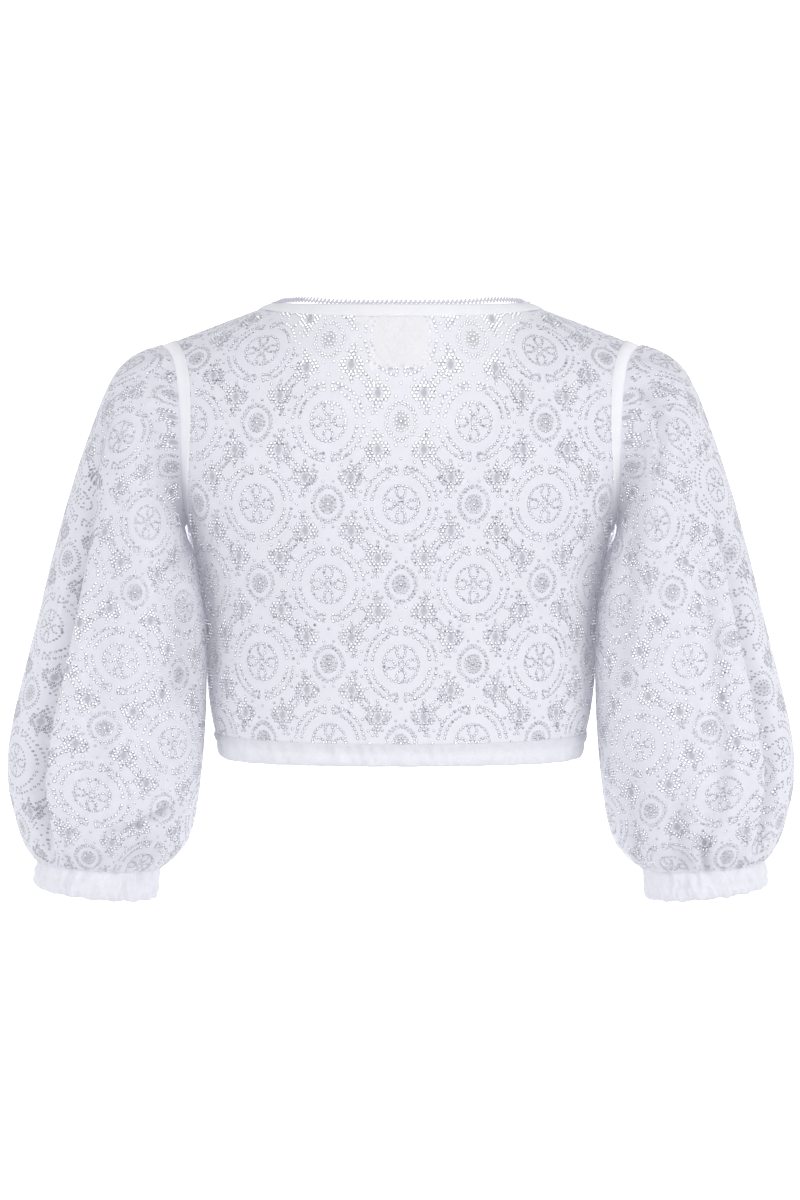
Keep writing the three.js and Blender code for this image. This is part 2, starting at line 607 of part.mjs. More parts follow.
// A closed strip round the neck between two neck lines.
function neckStrip(name, insets, wall, colour) {
  const rows = wallRows(neckPoint, spread(NECK_POINTS, 0, 1, true), insets, {
    wall,
    inside: () => BODY_MIDDLE,
    step: { u: 0.0012, v: 0.3 },
  });
  return clothMesh(name, wallGeometry(rows, true), colour, 0.8);
}

function armholeInside(side) {
  return new THREE.Vector3(side * 60, 0, -110);
}

// The plain band round an armhole, over the seam between body and sleeve.
function armholeBand(name, side) {
  const surface = (angle, grown) => armholePoint(side, angle, grown);
  const rows = wallRows(surface, spread(ARMHOLE_POINTS, 0, TURN, true), [0, 0.5, 1], {
    wall: BINDING_WALL,
    inside: () => armholeInside(side),
    step: { u: 0.01, v: 0.02 },
  });
  return clothMesh(name, wallGeometry(rows, true), COLOURS.plain, 0.8);
}

// A balloon sleeve, drawn in at the head and at the cuff.
function sleeve(name, side) {
  const levels = [0, 0.7, 1.4, 2.2, 3.1, 4.2, 5.5, 7, 8.6, 10.2, 11.8, 13, 14, 14.9, 15.7, 16.4, SLEEVE_ROWS];
  const [coarse, fine] = [44, 72];
  const fineFrom = 14.5;
  const surface = (angle, row) => sleevePoint(side, angle, row);
  const round = (level) => (level < fineFrom ? coarse : fine);
  const angles = (k) => spread(k === 0 ? ARMHOLE_POINTS : round(levels[k]), 0, TURN, true);
  const rows = wallRows(surface, angles, levels, {
    wall: LACE_WALL,
    inside: (angle, row) => sleeveOval(side, angle, row).centre,
    step: { u: 0.008, v: 0.02 },
  });
  // The sleeve's end is cut square to the body's cloth, so that it stays clear of the band it meets.
  const body = (angle, grown) => armholePoint(side, angle, grown);
  for (const [k, angle] of angles(0).entries()) {
    const normal = normalAt(body, angle, 0.05, armholeInside(side), { u: 0.01, v: 0.02 });
    rows[0][k].inner = rows[0][k].outer.clone().addScaledVector(normal, -LACE_WALL);
  }
  return clothMesh(name, wallGeometry(rows, true), COLOURS.lace, 0.9);
}

function cuff(name, side) {
  const surface = (angle, down) => cuffPoint(side, angle, down);
  const rows = wallRows(surface, spread(72, 0, TURN, true), [0, 0.5, 1], {
    wall: CASING_WALL,
    inside: (angle) => sleeveOval(side, angle, SLEEVE_ROWS).centre,
    step: { u: 0.01, v: 0.05 },
  });
  return clothMesh(name, wallGeometry(rows, true), COLOURS.elastic, 0.85);
}

// A blank label that lies against the inside of the back lace.
function backLabel(name, size) {
  const lines = spread(5, size.bottom, size.top).map((z) =>
    spread(5, size.left, size.right).map((x) => {
      const { across, run } = panelSpot(x, z, "back");
      const outside = bodyPoint(across, run, "back");
      const normal = bodyNormal(across, run, "back");
      const outer = outside.clone().addScaledVector(normal, -LACE_WALL - LABEL_GAP);
      return { outer, inner: outer.clone().addScaledVector(normal, -LABEL_WALL) };
    }),
  );
  return clothMesh(name, wallGeometry(lines, false), COLOURS.label, 0.6);
}

function blouse() {
  const group = new THREE.Group();
  group.name = "dirndl_blouse";
  group.add(
    lacePanel("back_panel", "back"),
    lacePanel("front_panel", "front"),
    hemCasing(),
    neckStrip("neck_binding", [BINDING_WIDTH, 0], BINDING_WALL, COLOURS.plain),
    neckStrip("neck_picot_edge", [-SEAM_GAP, -SEAM_GAP - PICOT_HEIGHT], PICOT_WALL, COLOURS.plain),
    backLabel("neck_label", NECK_LABEL),
    backLabel("size_tab", SIZE_TAB),
  );
  for (const [word, side] of [["left", -1], ["right", 1]]) {
    group.add(armholeBand(`armhole_band_${word}`, side), sleeve(`sleeve_${word}`, side), cuff(`cuff_${word}`, side));
  }
  return group;
}

export default blouse();
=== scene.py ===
"""A cropped openwork-lace dirndl blouse, filled out as it is worn, in a plain white studio.

Lengths in the tables are millimetres and the meshes are metres. +X is the wearer's right, +Y the wearer's
front and +Z is up, with the origin in the middle of the neck opening.
"""

import logging
import math
from dataclasses import dataclass, field
from enum import Enum
from typing import Any, Callable, Dict, List, Optional, Sequence, Tuple

import bpy
import numpy as np
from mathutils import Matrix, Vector, kdtree
from mathutils.geometry import delaunay_2d_cdt


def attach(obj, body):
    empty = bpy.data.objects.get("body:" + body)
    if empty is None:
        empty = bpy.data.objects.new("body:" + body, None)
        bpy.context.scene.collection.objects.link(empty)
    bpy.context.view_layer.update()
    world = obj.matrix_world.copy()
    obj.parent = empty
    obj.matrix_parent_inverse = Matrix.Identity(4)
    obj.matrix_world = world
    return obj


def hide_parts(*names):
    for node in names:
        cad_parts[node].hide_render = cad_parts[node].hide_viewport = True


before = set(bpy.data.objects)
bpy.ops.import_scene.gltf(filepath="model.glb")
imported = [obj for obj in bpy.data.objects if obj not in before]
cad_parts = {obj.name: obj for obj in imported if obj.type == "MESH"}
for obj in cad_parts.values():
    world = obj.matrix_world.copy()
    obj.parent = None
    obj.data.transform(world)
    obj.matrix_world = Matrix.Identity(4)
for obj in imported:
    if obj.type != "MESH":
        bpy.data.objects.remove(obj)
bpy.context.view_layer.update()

log = logging.getLogger("blouse")

Hole = Tuple[float, float, float]

MM = 0.001
TURN = 2.0 * math.pi
HALF_TURN = math.pi
QUARTER_TURN = math.pi / 2.0

# Body: the hem edge, and the level where back and front start to lean over to the shoulder seam
HEM_Z = -374.0
ARCH_Z = -150.0
ARCH_RUN = ARCH_Z - HEM_Z
ARCH_REACH = 105.0
RIDGE_MIDDLE_Z = 24.9
RIDGE_SLOPE = 0.402
RIDGE_ROUND = 50.0
CROWN_HEIGHT = 55.0

# Neck opening, at the top edge of its binding
NECK_HALF_WIDTH = 106.0
NECK_BACK_Z = -4.0
NECK_FRONT_Z = -128.0
NECK_BACK_CURVE = 3.0
NECK_FRONT_CURVE = 2.5
BINDING_WIDTH = 11.0
BINDING_DROP = 9.5

# Armhole, an oval seen from the side, and the band's growth outside it
ARMHOLE_TOP = -36.3
ARMHOLE_BOTTOM = -185.0
ARMHOLE_HALF_DEPTH = 59.0
BAND_TOP = 4.6
BAND_BOTTOM = 10.0
BAND_HALF_DEPTH = 10.0

CUFF_HEIGHT = 21.0
PICOT_PITCH = 3.8

# Blank labels inside the back neck: left and right edge, top and bottom edge
NECK_LABEL = (-23.0, 23.0, -10.2, -54.0)
SIZE_TAB = (-37.0, -24.0, -10.2, -20.0)

# Sleeve: width of its cut, how much longer the cut is than the form, and how many sections the armhole's
# own line takes to give way to the ovals
SLEEVE_FLAT_WIDTH = 456.0
SLEEVE_SLACK = 1.12
SLEEVE_BLEND = 2.2
# The sleeves' strip of painted shade ends at this height.
STRIP_TOP = 390.0  # height above the cuff where the dark strip ends

# Lace repeat: half the step from medallion to medallion, across and along the cloth, and the first round's
# height above the hem edge
HALF_STEP = np.array([58.0, 64.0])
PANEL_FIRST = np.array([0.0, 83.3])

# Holes: open share of their charted size, the share left in a dark strip, and how much painted shade greys
# the strips and the creases
HOLE_GROWTH = 0.84
DARK_GROWTH = 0.45
STRIP_PAINTED_SHADE = 0.75
CREASE_PAINTED_SHADE = 0.16
SEED = 11


class Face(Enum):
    """The two widths of lace that make the body."""

    BACK = "back"
    FRONT = "front"

    @property
    def outward(self) -> float:
        """Sign of Y on this face."""
        return -1.0 if self is Face.BACK else 1.0


class Side(Enum):
    """The two sleeves, by the sign of X."""

    LEFT = -1
    RIGHT = 1

    @property
    def word(self) -> str:
        """The word used in the names of this side's pieces."""
        return self.name.lower()


@dataclass(frozen=True)
class BodySection:
    """One level of the body, by the length of cloth above the hem edge."""

    run: float
    half_width: float
    back: float
    front: float
    squareness: float


@dataclass(frozen=True)
class SleeveSection:
    """One oval of a sleeve: its outer and inner point seen from behind, and its depth."""

    outer_x: float
    outer_z: float
    inner_x: float
    inner_z: float
    half_depth: float
    inner_back: float


@dataclass(frozen=True)
class BodyCrease:
    """A soft trough in the body. Across is 0 at the centre and 1 at the side seam."""

    face: Face
    side: int
    across: float
    drift: float
    start: float
    end: float
    width: float
    depth: float


@dataclass(frozen=True)
class SleeveCrease:
    """A soft trough or ridge of a sleeve, by degrees round it and by rows of its sections."""

    angle: float
    drift: float
    start: float
    end: float
    width: float
    depth: float


@dataclass(frozen=True)
class Ripple:
    """Uneven waves of gathered cloth.

    Args:
        count: how many in a turn.
        swing: how far they crowd and spread.
        swings: how often they do so in a turn.
        depth: height of a wave.
        start: phase at the start of the turn.
        fade: height over which the waves die away.
        slant: how much the phase turns with height.
        phased: whether the swing starts at the side's own phase.
    """

    count: int
    swing: float
    swings: int
    depth: float
    start: float = 0.0
    fade: float = math.inf
    slant: float = 0.0
    phased: bool = False

    def wave(self, turn: np.ndarray, height: float = 0.0, phase: float = 0.0) -> np.ndarray:
        """The waves at a share of the turn."""
        swing = self.swing * np.sin(TURN * self.swings * turn + (phase if self.phased else 0.0))
        return self.depth * np.sin(TURN * self.count * turn + swing + self.start + self.slant * height)


# Gathers of the panels above the hem, and puckers of the hem casing and of the cuffs
HEM_GATHERS = (
    Ripple(count=28, swing=0.8, swings=3, depth=0.9, fade=26.0),
    Ripple(count=61, swing=1.4, swings=5, depth=0.35, start=1.0, fade=14.0),
)
HEM_PUCKERS = (
    Ripple(count=24, swing=2.6, swings=5, depth=1.0, slant=0.22),
    Ripple(count=47, swing=2.2, swings=9, depth=0.45, slant=-0.3),
)
CUFF_PUCKERS = (
    Ripple(count=19, swing=2.3, swings=4, depth=0.8, slant=3.6, phased=True),
    Ripple(count=33, swing=2.4, swings=6, depth=0.6, slant=-5.2),
    Ripple(count=57, swing=2.0, swings=9, depth=0.35, slant=9.0, phased=True),
)
PHASES = {Side.LEFT: 1.3, Side.RIGHT: 0.4}

BODY_SECTIONS = (
    BodySection(0, 148, 97, 97, 2.1),
    BodySection(18, 154, 98.5, 99, 2.1),
    BodySection(40, 158.5, 101, 105, 2.15),
    BodySection(70, 161.5, 103, 114, 2.2),
    BodySection(125, 164, 106, 125, 2.3),
    BodySection(176, 172, 109, 122, 2.6),
    BodySection(221, 183, 110, 112, 2.9),
    BodySection(265, 190, 109, 105, 3),
    BodySection(320, 199, 106, 101, 3),
    BodySection(430, 208, 104, 98, 3),
)

SLEEVE_SECTIONS = (
    SleeveSection(196.5, -36.5, 175, -185.5, 50, 0),
    SleeveSection(207, -38, 177.5, -190, 58, 0),
    SleeveSection(220.5, -44.5, 174.5, -196, 65, 4),
    SleeveSection(234, -56.5, 171, -203, 69, 12),
    SleeveSection(245.5, -77.5, 167.5, -212, 72, 22),
    SleeveSection(255, -102, 166, -223, 73, 30),
    SleeveSection(265.5, -131, 163, -237, 73, 35),
    SleeveSection(277, -168, 161, -256, 72, 37),
    SleeveSection(289, -211, 159.5, -280, 70, 36),
    SleeveSection(300, -256, 159.5, -307, 68, 32),
    SleeveSection(311.5, -300, 160.5, -335, 67, 26),
    SleeveSection(321, -338, 162.5, -362, 66, 19),
    SleeveSection(327, -372, 165, -387, 65, 12),
    SleeveSection(327, -400, 168, -409, 64, 7),
    SleeveSection(322.5, -423, 171.5, -429, 61, 4),
    SleeveSection(317.5, -441, 178, -448, 56, 2),
    SleeveSection(311, -455, 189, -461.5, 49, 0),
    SleeveSection(303.5, -464, 201, -471, 43, 0),
)
LAST_ROW = float(len(SLEEVE_SECTIONS) - 1)

BODY_CREASES = (
    BodyCrease(Face.BACK, -1, 0.86, -0.06, 30, 190, 0.05, -2.6),
    BodyCrease(Face.BACK, 1, 0.83, 0.04, 40, 200, 0.05, -2.4),
    BodyCrease(Face.BACK, 1, 0.68, -0.05, 20, 120, 0.06, -1.6),
    BodyCrease(Face.BACK, -1, 0.62, 0.05, 20, 110, 0.06, -1.4),
    BodyCrease(Face.FRONT, -1, 0.8, -0.1, 25, 170, 0.06, -2.8),
    BodyCrease(Face.FRONT, 1, 0.78, -0.08, 25, 180, 0.06, -2.6),
    BodyCrease(Face.FRONT, -1, 0.42, 0.05, 18, 90, 0.05, -1.8),
    BodyCrease(Face.FRONT, 1, 0.36, -0.04, 18, 95, 0.05, -2),
)

SLEEVE_CREASES: Dict[Side, Tuple[SleeveCrease, ...]] = {
    Side.RIGHT: (
        SleeveCrease(45, 0, 5.5, 16.8, 6, -8),
        SleeveCrease(57, -2, 5, 16.2, 7, 3.6),
        SleeveCrease(62, 26, 6.2, 15.8, 5.5, -5),
        SleeveCrease(74, 24, 6.2, 15, 8, 2.4),
        SleeveCrease(50, 40, 0.7, 4, 7, -4),
        SleeveCrease(104, 6, 12.4, 17.6, 4.5, -5),
        SleeveCrease(90, 3, 14.2, 17.8, 3.2, -5.5),
        SleeveCrease(118, 22, 3, 10, 9, -4),
        SleeveCrease(150, -8, 2, 8, 12, 2.4),
        SleeveCrease(134, 12, 11, 16.4, 8, -3.4),
        SleeveCrease(250, 10, 3, 12, 11, -4.5),
        SleeveCrease(292, -8, 6, 16, 10, -4),
        SleeveCrease(325, 5, 4, 13, 12, 2.8),
        SleeveCrease(215, -6, 9, 16, 10, -3),
    ),
    Side.LEFT: (
        SleeveCrease(53, -3, 5, 17, 6.5, -9),
        SleeveCrease(66, -4, 4.6, 16.4, 7.5, 4),
        SleeveCrease(32, 18, 3, 7.6, 7, -4.5),
        SleeveCrease(176, -60, 2.4, 6.8, 9, -5),
        SleeveCrease(142, 0, 6, 10.4, 15, -6),
        SleeveCrease(150, -58, 13.0, 14.6, 6.5, -5),
        SleeveCrease(124, 0, 14.2, 16.8, 14, -3.6),
        SleeveCrease(86, 10, 9, 13.5, 9, -2.2),
        SleeveCrease(244, 6, 3, 11, 12, -4.2),
        SleeveCrease(285, -6, 7, 16, 10, -4.5),
        SleeveCrease(330, 8, 3, 12, 12, 2.6),
        SleeveCrease(210, 4, 8, 15, 11, -3),
    ),
}


class Curve:
    """A smooth curve through a column of a table."""

    def __init__(self, xs: Sequence[float], ys: Sequence[float]) -> None:
        """Finds the slope at each knot.

        Args:
            xs: rising knots.
            ys: values at the knots.
        """
        self.x = np.asarray(xs, float)
        self.y = np.asarray(ys, float)
        last = len(self.x) - 1
        low = np.maximum(np.arange(last + 1) - 1, 0)
        high = np.minimum(np.arange(last + 1) + 1, last)
        self.slope = (self.y[high] - self.y[low]) / (self.x[high] - self.x[low])

    def __call__(self, at: np.ndarray) -> np.ndarray:
        """Values of the curve.

        Args:
            at: places along the knots, held inside their range.
        Returns:
            The value at each place.
        """
        value = np.clip(np.asarray(at, float), self.x[0], self.x[-1])
        i = np.clip(np.searchsorted(self.x, value, side="left") - 1, 0, len(self.x) - 2)
        span = self.x[i + 1] - self.x[i]
        t = (value - self.x[i]) / span
        t2, t3 = t * t, t * t * t
        return (
            (2 * t3 - 3 * t2 + 1) * self.y[i]
            + (t3 - 2 * t2 + t) * span * self.slope[i]
            + (3 * t2 - 2 * t3) * self.y[i + 1]
            + (t3 - t2) * span * self.slope[i + 1]
        )


def table_curve(rows: Sequence, name: str, order: Optional[str] = None) -> Curve:
    """A curve through one column of a table, by row number or by the column that orders it."""
    xs = [getattr(row, order) if order else float(i) for i, row in enumerate(rows)]
    return Curve(xs, [getattr(row, name) for row in rows])


def smooth_step(low: float, high: float, value: np.ndarray) -> np.ndarray:
    """0 below low, 1 above high and a smooth rise between them."""
    t = np.clip((np.asarray(value, float) - low) / (high - low), 0.0, 1.0)
    return t * t * (3.0 - 2.0 * t)


def normals_of(surface: Callable, u: np.ndarray, v: np.ndarray, step: Tuple[float, float]) -> np.ndarray:
    """Unit normals of a surface of two parameters, from its slopes.

    Args:
        surface: gives points for arrays of the two parameters.
        u: first parameters.
        v: second parameters.
        step: how far to look either way in each.
    Returns:
        One normal for each pair, on whichever side the parameters give.
    """
    along_u = surface(u + step[0], v) - surface(u - step[0], v)
    along_v = surface(u, v + step[1]) - surface(u, v - step[1])
    normal = np.cross(along_u, along_v)
    return normal / np.maximum(np.linalg.norm(normal, axis=1, keepdims=True), 1e-12)


def level_out(points: np.ndarray, flatness: float) -> np.ndarray:
    """Level unit directions away from the blouse's middle, which follow Y more than X by the flatness."""
    out = points * np.array([1.0, flatness, 0.0])
    return out / np.maximum(np.linalg.norm(out, axis=1, keepdims=True), 1e-9)


class InverseTable:
    """Turns a length across the cloth back into the surface's own parameter, by interpolation."""

    def __init__(self, rows: np.ndarray, lengths: np.ndarray, parameters: np.ndarray, steps: int) -> None:
        """Resamples each row at even lengths.

        Args:
            rows: the other parameter, rising, one for each row.
            lengths: rising lengths, row by row.
            parameters: the parameter at each column.
            steps: how many even lengths to keep.
        """
        self.rows = rows
        self.top = float(lengths.max())
        even = np.linspace(0.0, self.top, steps)
        self.values = np.array([np.interp(even, row, parameters) for row in lengths])
        self.steps = steps

    def __call__(self, row: np.ndarray, length: np.ndarray) -> np.ndarray:
        """The parameter at a length along a row."""
        r = np.interp(row, self.rows, np.arange(len(self.rows)))
        i = np.clip(np.floor(r).astype(int), 0, len(self.rows) - 2)
        c = np.clip(length / self.top, 0, 1) * (self.steps - 1)
        j = np.clip(np.floor(c).astype(int), 0, self.steps - 2)
        fr, fc = r - i, c - j
        low = self.values[i, j] * (1 - fc) + self.values[i, j + 1] * fc
        high = self.values[i + 1, j] * (1 - fc) + self.values[i + 1, j + 1] * fc
        return low * (1 - fr) + high * fr


class BodyForm:
    """The surface of the body: angle is 0 at the centre and a quarter turn at the side seam."""

    def __init__(self) -> None:
        """Sets the curves up and measures the cloth round the body."""
        self.half_width = table_curve(BODY_SECTIONS, "half_width", "run")
        self.depth = {face: table_curve(BODY_SECTIONS, face.value, "run") for face in Face}
        self.squareness = table_curve(BODY_SECTIONS, "squareness", "run")
        angles = np.linspace(0, QUARTER_TURN, 181)
        a, b, n = self.section(200.0, Face.BACK)
        radius = self.plan_radius(angles, a, b, n)
        steps = np.hypot(np.diff(radius * np.sin(angles)), np.diff(radius * np.cos(angles)))
        self.share = np.concatenate([[0.0], np.cumsum(steps)]) / steps.sum()
        self.angles = angles
        self.inverse: Dict[Face, InverseTable] = {}
        self.lengths: Dict[Face, Tuple[np.ndarray, np.ndarray]] = {}
        for face in Face:
            runs = np.linspace(0, 440, 111)
            grid = np.array([self.smooth(angles, np.full_like(angles, run), face) for run in runs])
            gaps = np.linalg.norm(np.diff(grid, axis=1), axis=2)
            lengths = np.concatenate([np.zeros((len(runs), 1)), np.cumsum(gaps, axis=1)], axis=1)
            self.inverse[face] = InverseTable(runs, lengths, angles, 260)
            self.lengths[face] = (runs, lengths)

    @staticmethod
    def ridge(x: np.ndarray) -> np.ndarray:
        """Height of the shoulder line at a distance out."""
        crown = CROWN_HEIGHT * np.maximum(1 - (x / NECK_HALF_WIDTH) ** 2, 0) ** 2
        return RIDGE_MIDDLE_Z - RIDGE_SLOPE * (np.hypot(x, RIDGE_ROUND) - RIDGE_ROUND) + crown

    def section(self, run: np.ndarray, face: Face) -> Tuple[np.ndarray, np.ndarray, np.ndarray]:
        """Half width, depth and squareness at a length of cloth above the hem."""
        return self.half_width(run), self.depth[face](run), self.squareness(run)

    @staticmethod
    def plan_radius(angle: np.ndarray, a: np.ndarray, b: np.ndarray, n: np.ndarray) -> np.ndarray:
        """Distance out from the middle in plan."""
        s, c = np.abs(np.sin(angle)), np.abs(np.cos(angle))
        return ((s / a) ** n + (c / b) ** n) ** (-1.0 / n)

    @staticmethod
    def arc_length(angle: np.ndarray, first: np.ndarray, last: float) -> np.ndarray:
        """Length of the shoulder's quarter oval up to an angle."""
        return first * angle - (first - last) * angle * angle / HALF_TURN

    @staticmethod
    def arc_angle(length: np.ndarray, first: np.ndarray, last: float) -> np.ndarray:
        """The angle up the shoulder's quarter oval at a length."""
        lost = first - last
        safe = np.where(np.abs(lost) < 1e-6, 1e-6, lost)
        root = np.sqrt(np.maximum(first * first - 4 * safe * length / HALF_TURN, last * last))
        return (first - root) * HALF_TURN / (2 * safe)

    def smooth(self, angle: np.ndarray, run: np.ndarray, face: Face) -> np.ndarray:
        """Points of the form without its folds.

        Args:
            angle: signed angle in plan from the centre line.
            run: length of cloth above the hem edge.
            face: back or front.
        Returns:
            Points in millimetres.
        """
        a, b, n = self.section(run, face)
        radius = self.plan_radius(angle, a, b, n)
        x = radius * np.sin(angle)
        depth = radius * np.cos(angle)
        rise = self.ridge(x) - ARCH_Z
        lean = np.minimum(self.arc_angle(np.maximum(run - ARCH_RUN, 0), rise, ARCH_REACH), QUARTER_TURN)
        y = face.outward * depth * np.cos(lean)
        z = np.where(run <= ARCH_RUN, HEM_Z + run, ARCH_Z + rise * np.sin(lean))
        return np.stack([x, y, z], axis=-1)

    def across(self, angle: np.ndarray) -> np.ndarray:
        """Signed share of the way from the centre line to the side seam."""
        return np.sign(angle) * np.interp(np.abs(angle), self.angles, self.share)

    def fold(self, angle: np.ndarray, run: np.ndarray, face: Face) -> np.ndarray:
        """How far creases and gathers move the cloth outwards."""
        across = self.across(angle)
        total = np.zeros_like(across)
        for crease in BODY_CREASES:
            if crease.face is not face:
                continue
            t = (run - crease.start) / (crease.end - crease.start)
            middle = crease.across + crease.drift * t
            swell = smooth_step(0, 0.35, t) * (1 - smooth_step(0.6, 1, t))
            shape = np.exp(-(((np.abs(across) - middle) / crease.width) ** 2))
            total += np.where(crease.side * across > 0, crease.depth * swell * shape, 0)
        turn = across / 4 if face is Face.BACK else 0.5 - across / 4
        for gather in HEM_GATHERS:
            total += np.exp(-run / gather.fade) * gather.wave(turn)
        return total

    def point(self, angle: np.ndarray, run: np.ndarray, face: Face) -> np.ndarray:
        """Points of the form with its folds."""
        points = self.smooth(angle, run, face)
        return points + level_out(points, 2.2) * self.fold(angle, run, face)[:, None]

    def outward(self, place: Sequence[float], flatness: float) -> np.ndarray:
        """Outward unit direction of the plain form.

        Args:
            place: a point of the form.
            flatness: how much more the direction follows Y than X.
        Returns:
            The direction, leaning up over the shoulder as the form does.
        """
        x, y, z = place
        lean = self.run_at(x, z)[1]
        flat = np.array([x, flatness * y, 0.0])
        flat /= max(np.linalg.norm(flat), 1e-9)
        out = flat * math.cos(lean) + np.array([0.0, 0.0, 1.0]) * math.sin(lean)
        return out / np.linalg.norm(out)

    def normal(self, angle: np.ndarray, run: np.ndarray, face: Face) -> np.ndarray:
        """Outward unit normals."""
        held = np.clip(angle, -1.553, 1.553)
        top = np.minimum(run, self.top_run(held, face) - 0.8)
        surface = lambda u, v: self.point(u, v, face)
        normal = normals_of(surface, held, top, (0.004, 0.5))
        # Across and up give a normal that points to the rear on the front and to the front on the back.
        return normal * (1.0 if face is Face.BACK else -1.0)

    def top_run(self, angle: np.ndarray, face: Face) -> np.ndarray:
        """Length of cloth from the hem to the shoulder line on each meridian."""
        a, b, n = self.section(np.full_like(angle, 400.0), face)
        x = self.plan_radius(angle, a, b, n) * np.sin(angle)
        return ARCH_RUN + self.arc_length(QUARTER_TURN, self.ridge(x) - ARCH_Z, ARCH_REACH)

    def run_at(self, x: float, z: float) -> Tuple[float, float]:
        """Length of cloth up to height z on the meridian through x, and its lean there."""
        if z <= ARCH_Z:
            return z - HEM_Z, 0.0
        rise = float(self.ridge(np.float64(x))) - ARCH_Z
        lean = math.asin(min((z - ARCH_Z) / rise, 1.0))
        return ARCH_RUN + float(self.arc_length(lean, rise, ARCH_REACH)), lean

    def plan_y(self, x: float, run: float, face: Face) -> float:
        """Depth in plan at a distance out."""
        a, b, n = (float(value) for value in self.section(run, face))
        return b * max(1 - (abs(x) / a) ** n, 0.0) ** (1 / n)

    def spot(self, x: float, z: float, face: Face) -> Tuple[float, float]:
        """Angle and run of a point seen from the front or back."""
        run, _ = self.run_at(x, z)
        return math.copysign(math.atan2(abs(x), self.plan_y(x, run, face)), x), run

    def side_x(self, y: float, z: float, face: Face) -> float:
        """Distance out of a point seen from the side."""
        low, high = 0.0, 260.0
        if z > ARCH_Z:
            a, b = 0.0, 260.0
            for _ in range(40):
                middle = (a + b) / 2
                a, b = (middle, b) if float(self.ridge(np.float64(middle))) > z else (a, middle)
            high = (a + b) / 2
        for _ in range(40):
            middle = (low + high) / 2
            run, lean = self.run_at(middle, z)
            inside = self.plan_y(middle, run, face) * math.cos(lean) > abs(y)
            low, high = (middle, high) if inside else (low, middle)
        return (low + high) / 2

    def flat_across(self, angle: float, run: float, face: Face) -> float:
        """Length of cloth from the centre line to an angle, at a run."""
        runs, lengths = self.lengths[face]
        row = np.interp(run, runs, np.arange(len(runs)))
        i = min(int(row), len(runs) - 2)
        line = lengths[i] * (1 - (row - i)) + lengths[i + 1] * (row - i)
        return math.copysign(float(np.interp(abs(angle), self.angles, line)), angle)

    def neck_z(self, x: float, inset: float, face: Face) -> float:
        """Height of a neck line that meets the shoulder line this far outside the binding's top."""
        half = NECK_HALF_WIDTH + inset
        middle = (NECK_BACK_Z if face is Face.BACK else NECK_FRONT_Z) - inset * BINDING_DROP / BINDING_WIDTH
        curve = NECK_BACK_CURVE if face is Face.BACK else NECK_FRONT_CURVE
        end = float(self.ridge(np.float64(half)))
        return middle + (end - middle) * min(abs(x) / half, 1.0) ** curve

    def neck_point(self, turn: float, inset: float) -> Tuple[float, float, float]:
        """A point round a neck line: the back from left to right, then the front."""
        turn -= math.floor(turn)
        face = Face.BACK if turn < 0.5 else Face.FRONT
        x = -(NECK_HALF_WIDTH + inset) * math.cos(TURN * turn)
        z = min(self.neck_z(x, inset, face), float(self.ridge(np.float64(x))))
        run, lean = self.run_at(x, z)
        return x, face.outward * self.plan_y(x, run, face) * math.cos(lean), z

    def armhole_point(self, side: Side, angle: float, grown: float) -> Tuple[float, float, float]:
        """A point round an armhole line: 0 is the shoulder and a quarter turn the back."""
        top = ARMHOLE_TOP + BAND_TOP * grown
        bottom = ARMHOLE_BOTTOM - BAND_BOTTOM * grown
        z = (top + bottom) / 2 + (top - bottom) / 2 * math.cos(angle)
        y = -(ARMHOLE_HALF_DEPTH + BAND_HALF_DEPTH * grown) * math.sin(angle)
        face = Face.BACK if y < 0 else Face.FRONT
        return side.value * self.side_x(y, z, face), y, z


BODY = BodyForm()


@dataclass(frozen=True)
class Gather:
    """One pleat that runs up from a cuff: degrees round, width in degrees, reach in rows, depth."""

    angle: float
    width: float
    reach: float
    depth: float


CUFF_PLEATS: Dict[Side, Tuple[Gather, ...]] = {
    Side.LEFT: (
        Gather(22, 3.4, 1.6, -2.6), Gather(38, 3.0, 2.6, -3.0), Gather(53, 3.6, 1.4, -2.2),
        Gather(67, 3.0, 3.2, -3.4), Gather(82, 3.2, 1.8, -2.6), Gather(95, 2.8, 2.4, -3.0),
        Gather(109, 3.4, 1.3, -2.2), Gather(121, 3.0, 2.8, -2.8), Gather(137, 3.4, 1.6, -2.6),
        Gather(152, 3.0, 2.2, -2.4), Gather(170, 3.2, 1.5, -2.0), Gather(193, 3.4, 2.0, -2.4),
        Gather(214, 3.0, 1.4, -2.6), Gather(233, 3.4, 2.6, -3.0), Gather(251, 3.0, 1.6, -2.4),
        Gather(268, 3.2, 2.2, -2.8), Gather(287, 3.0, 1.5, -2.4), Gather(305, 3.4, 2.4, -2.8),
        Gather(324, 3.0, 1.6, -2.4), Gather(343, 3.4, 2.0, -2.2),
    ),
    Side.RIGHT: (
        Gather(18, 3.2, 1.5, -2.4), Gather(33, 3.4, 2.4, -3.0), Gather(49, 3.0, 1.6, -2.6),
        Gather(63, 3.2, 2.8, -3.2), Gather(76, 2.8, 1.4, -2.4), Gather(89, 2.6, 3.6, -3.8),
        Gather(103, 3.0, 1.7, -2.6), Gather(114, 2.8, 3.0, -3.2), Gather(129, 3.2, 1.5, -2.4),
        Gather(144, 3.0, 2.4, -2.8), Gather(161, 3.4, 1.6, -2.2), Gather(186, 3.2, 2.0, -2.4),
        Gather(207, 3.0, 1.5, -2.6), Gather(226, 3.4, 2.4, -2.8), Gather(245, 3.0, 1.6, -2.4),
        Gather(263, 3.2, 2.6, -3.0), Gather(281, 3.0, 1.5, -2.4), Gather(299, 3.4, 2.0, -2.8),
        Gather(318, 3.0, 1.6, -2.4), Gather(338, 3.4, 2.2, -2.4),
    ),
}


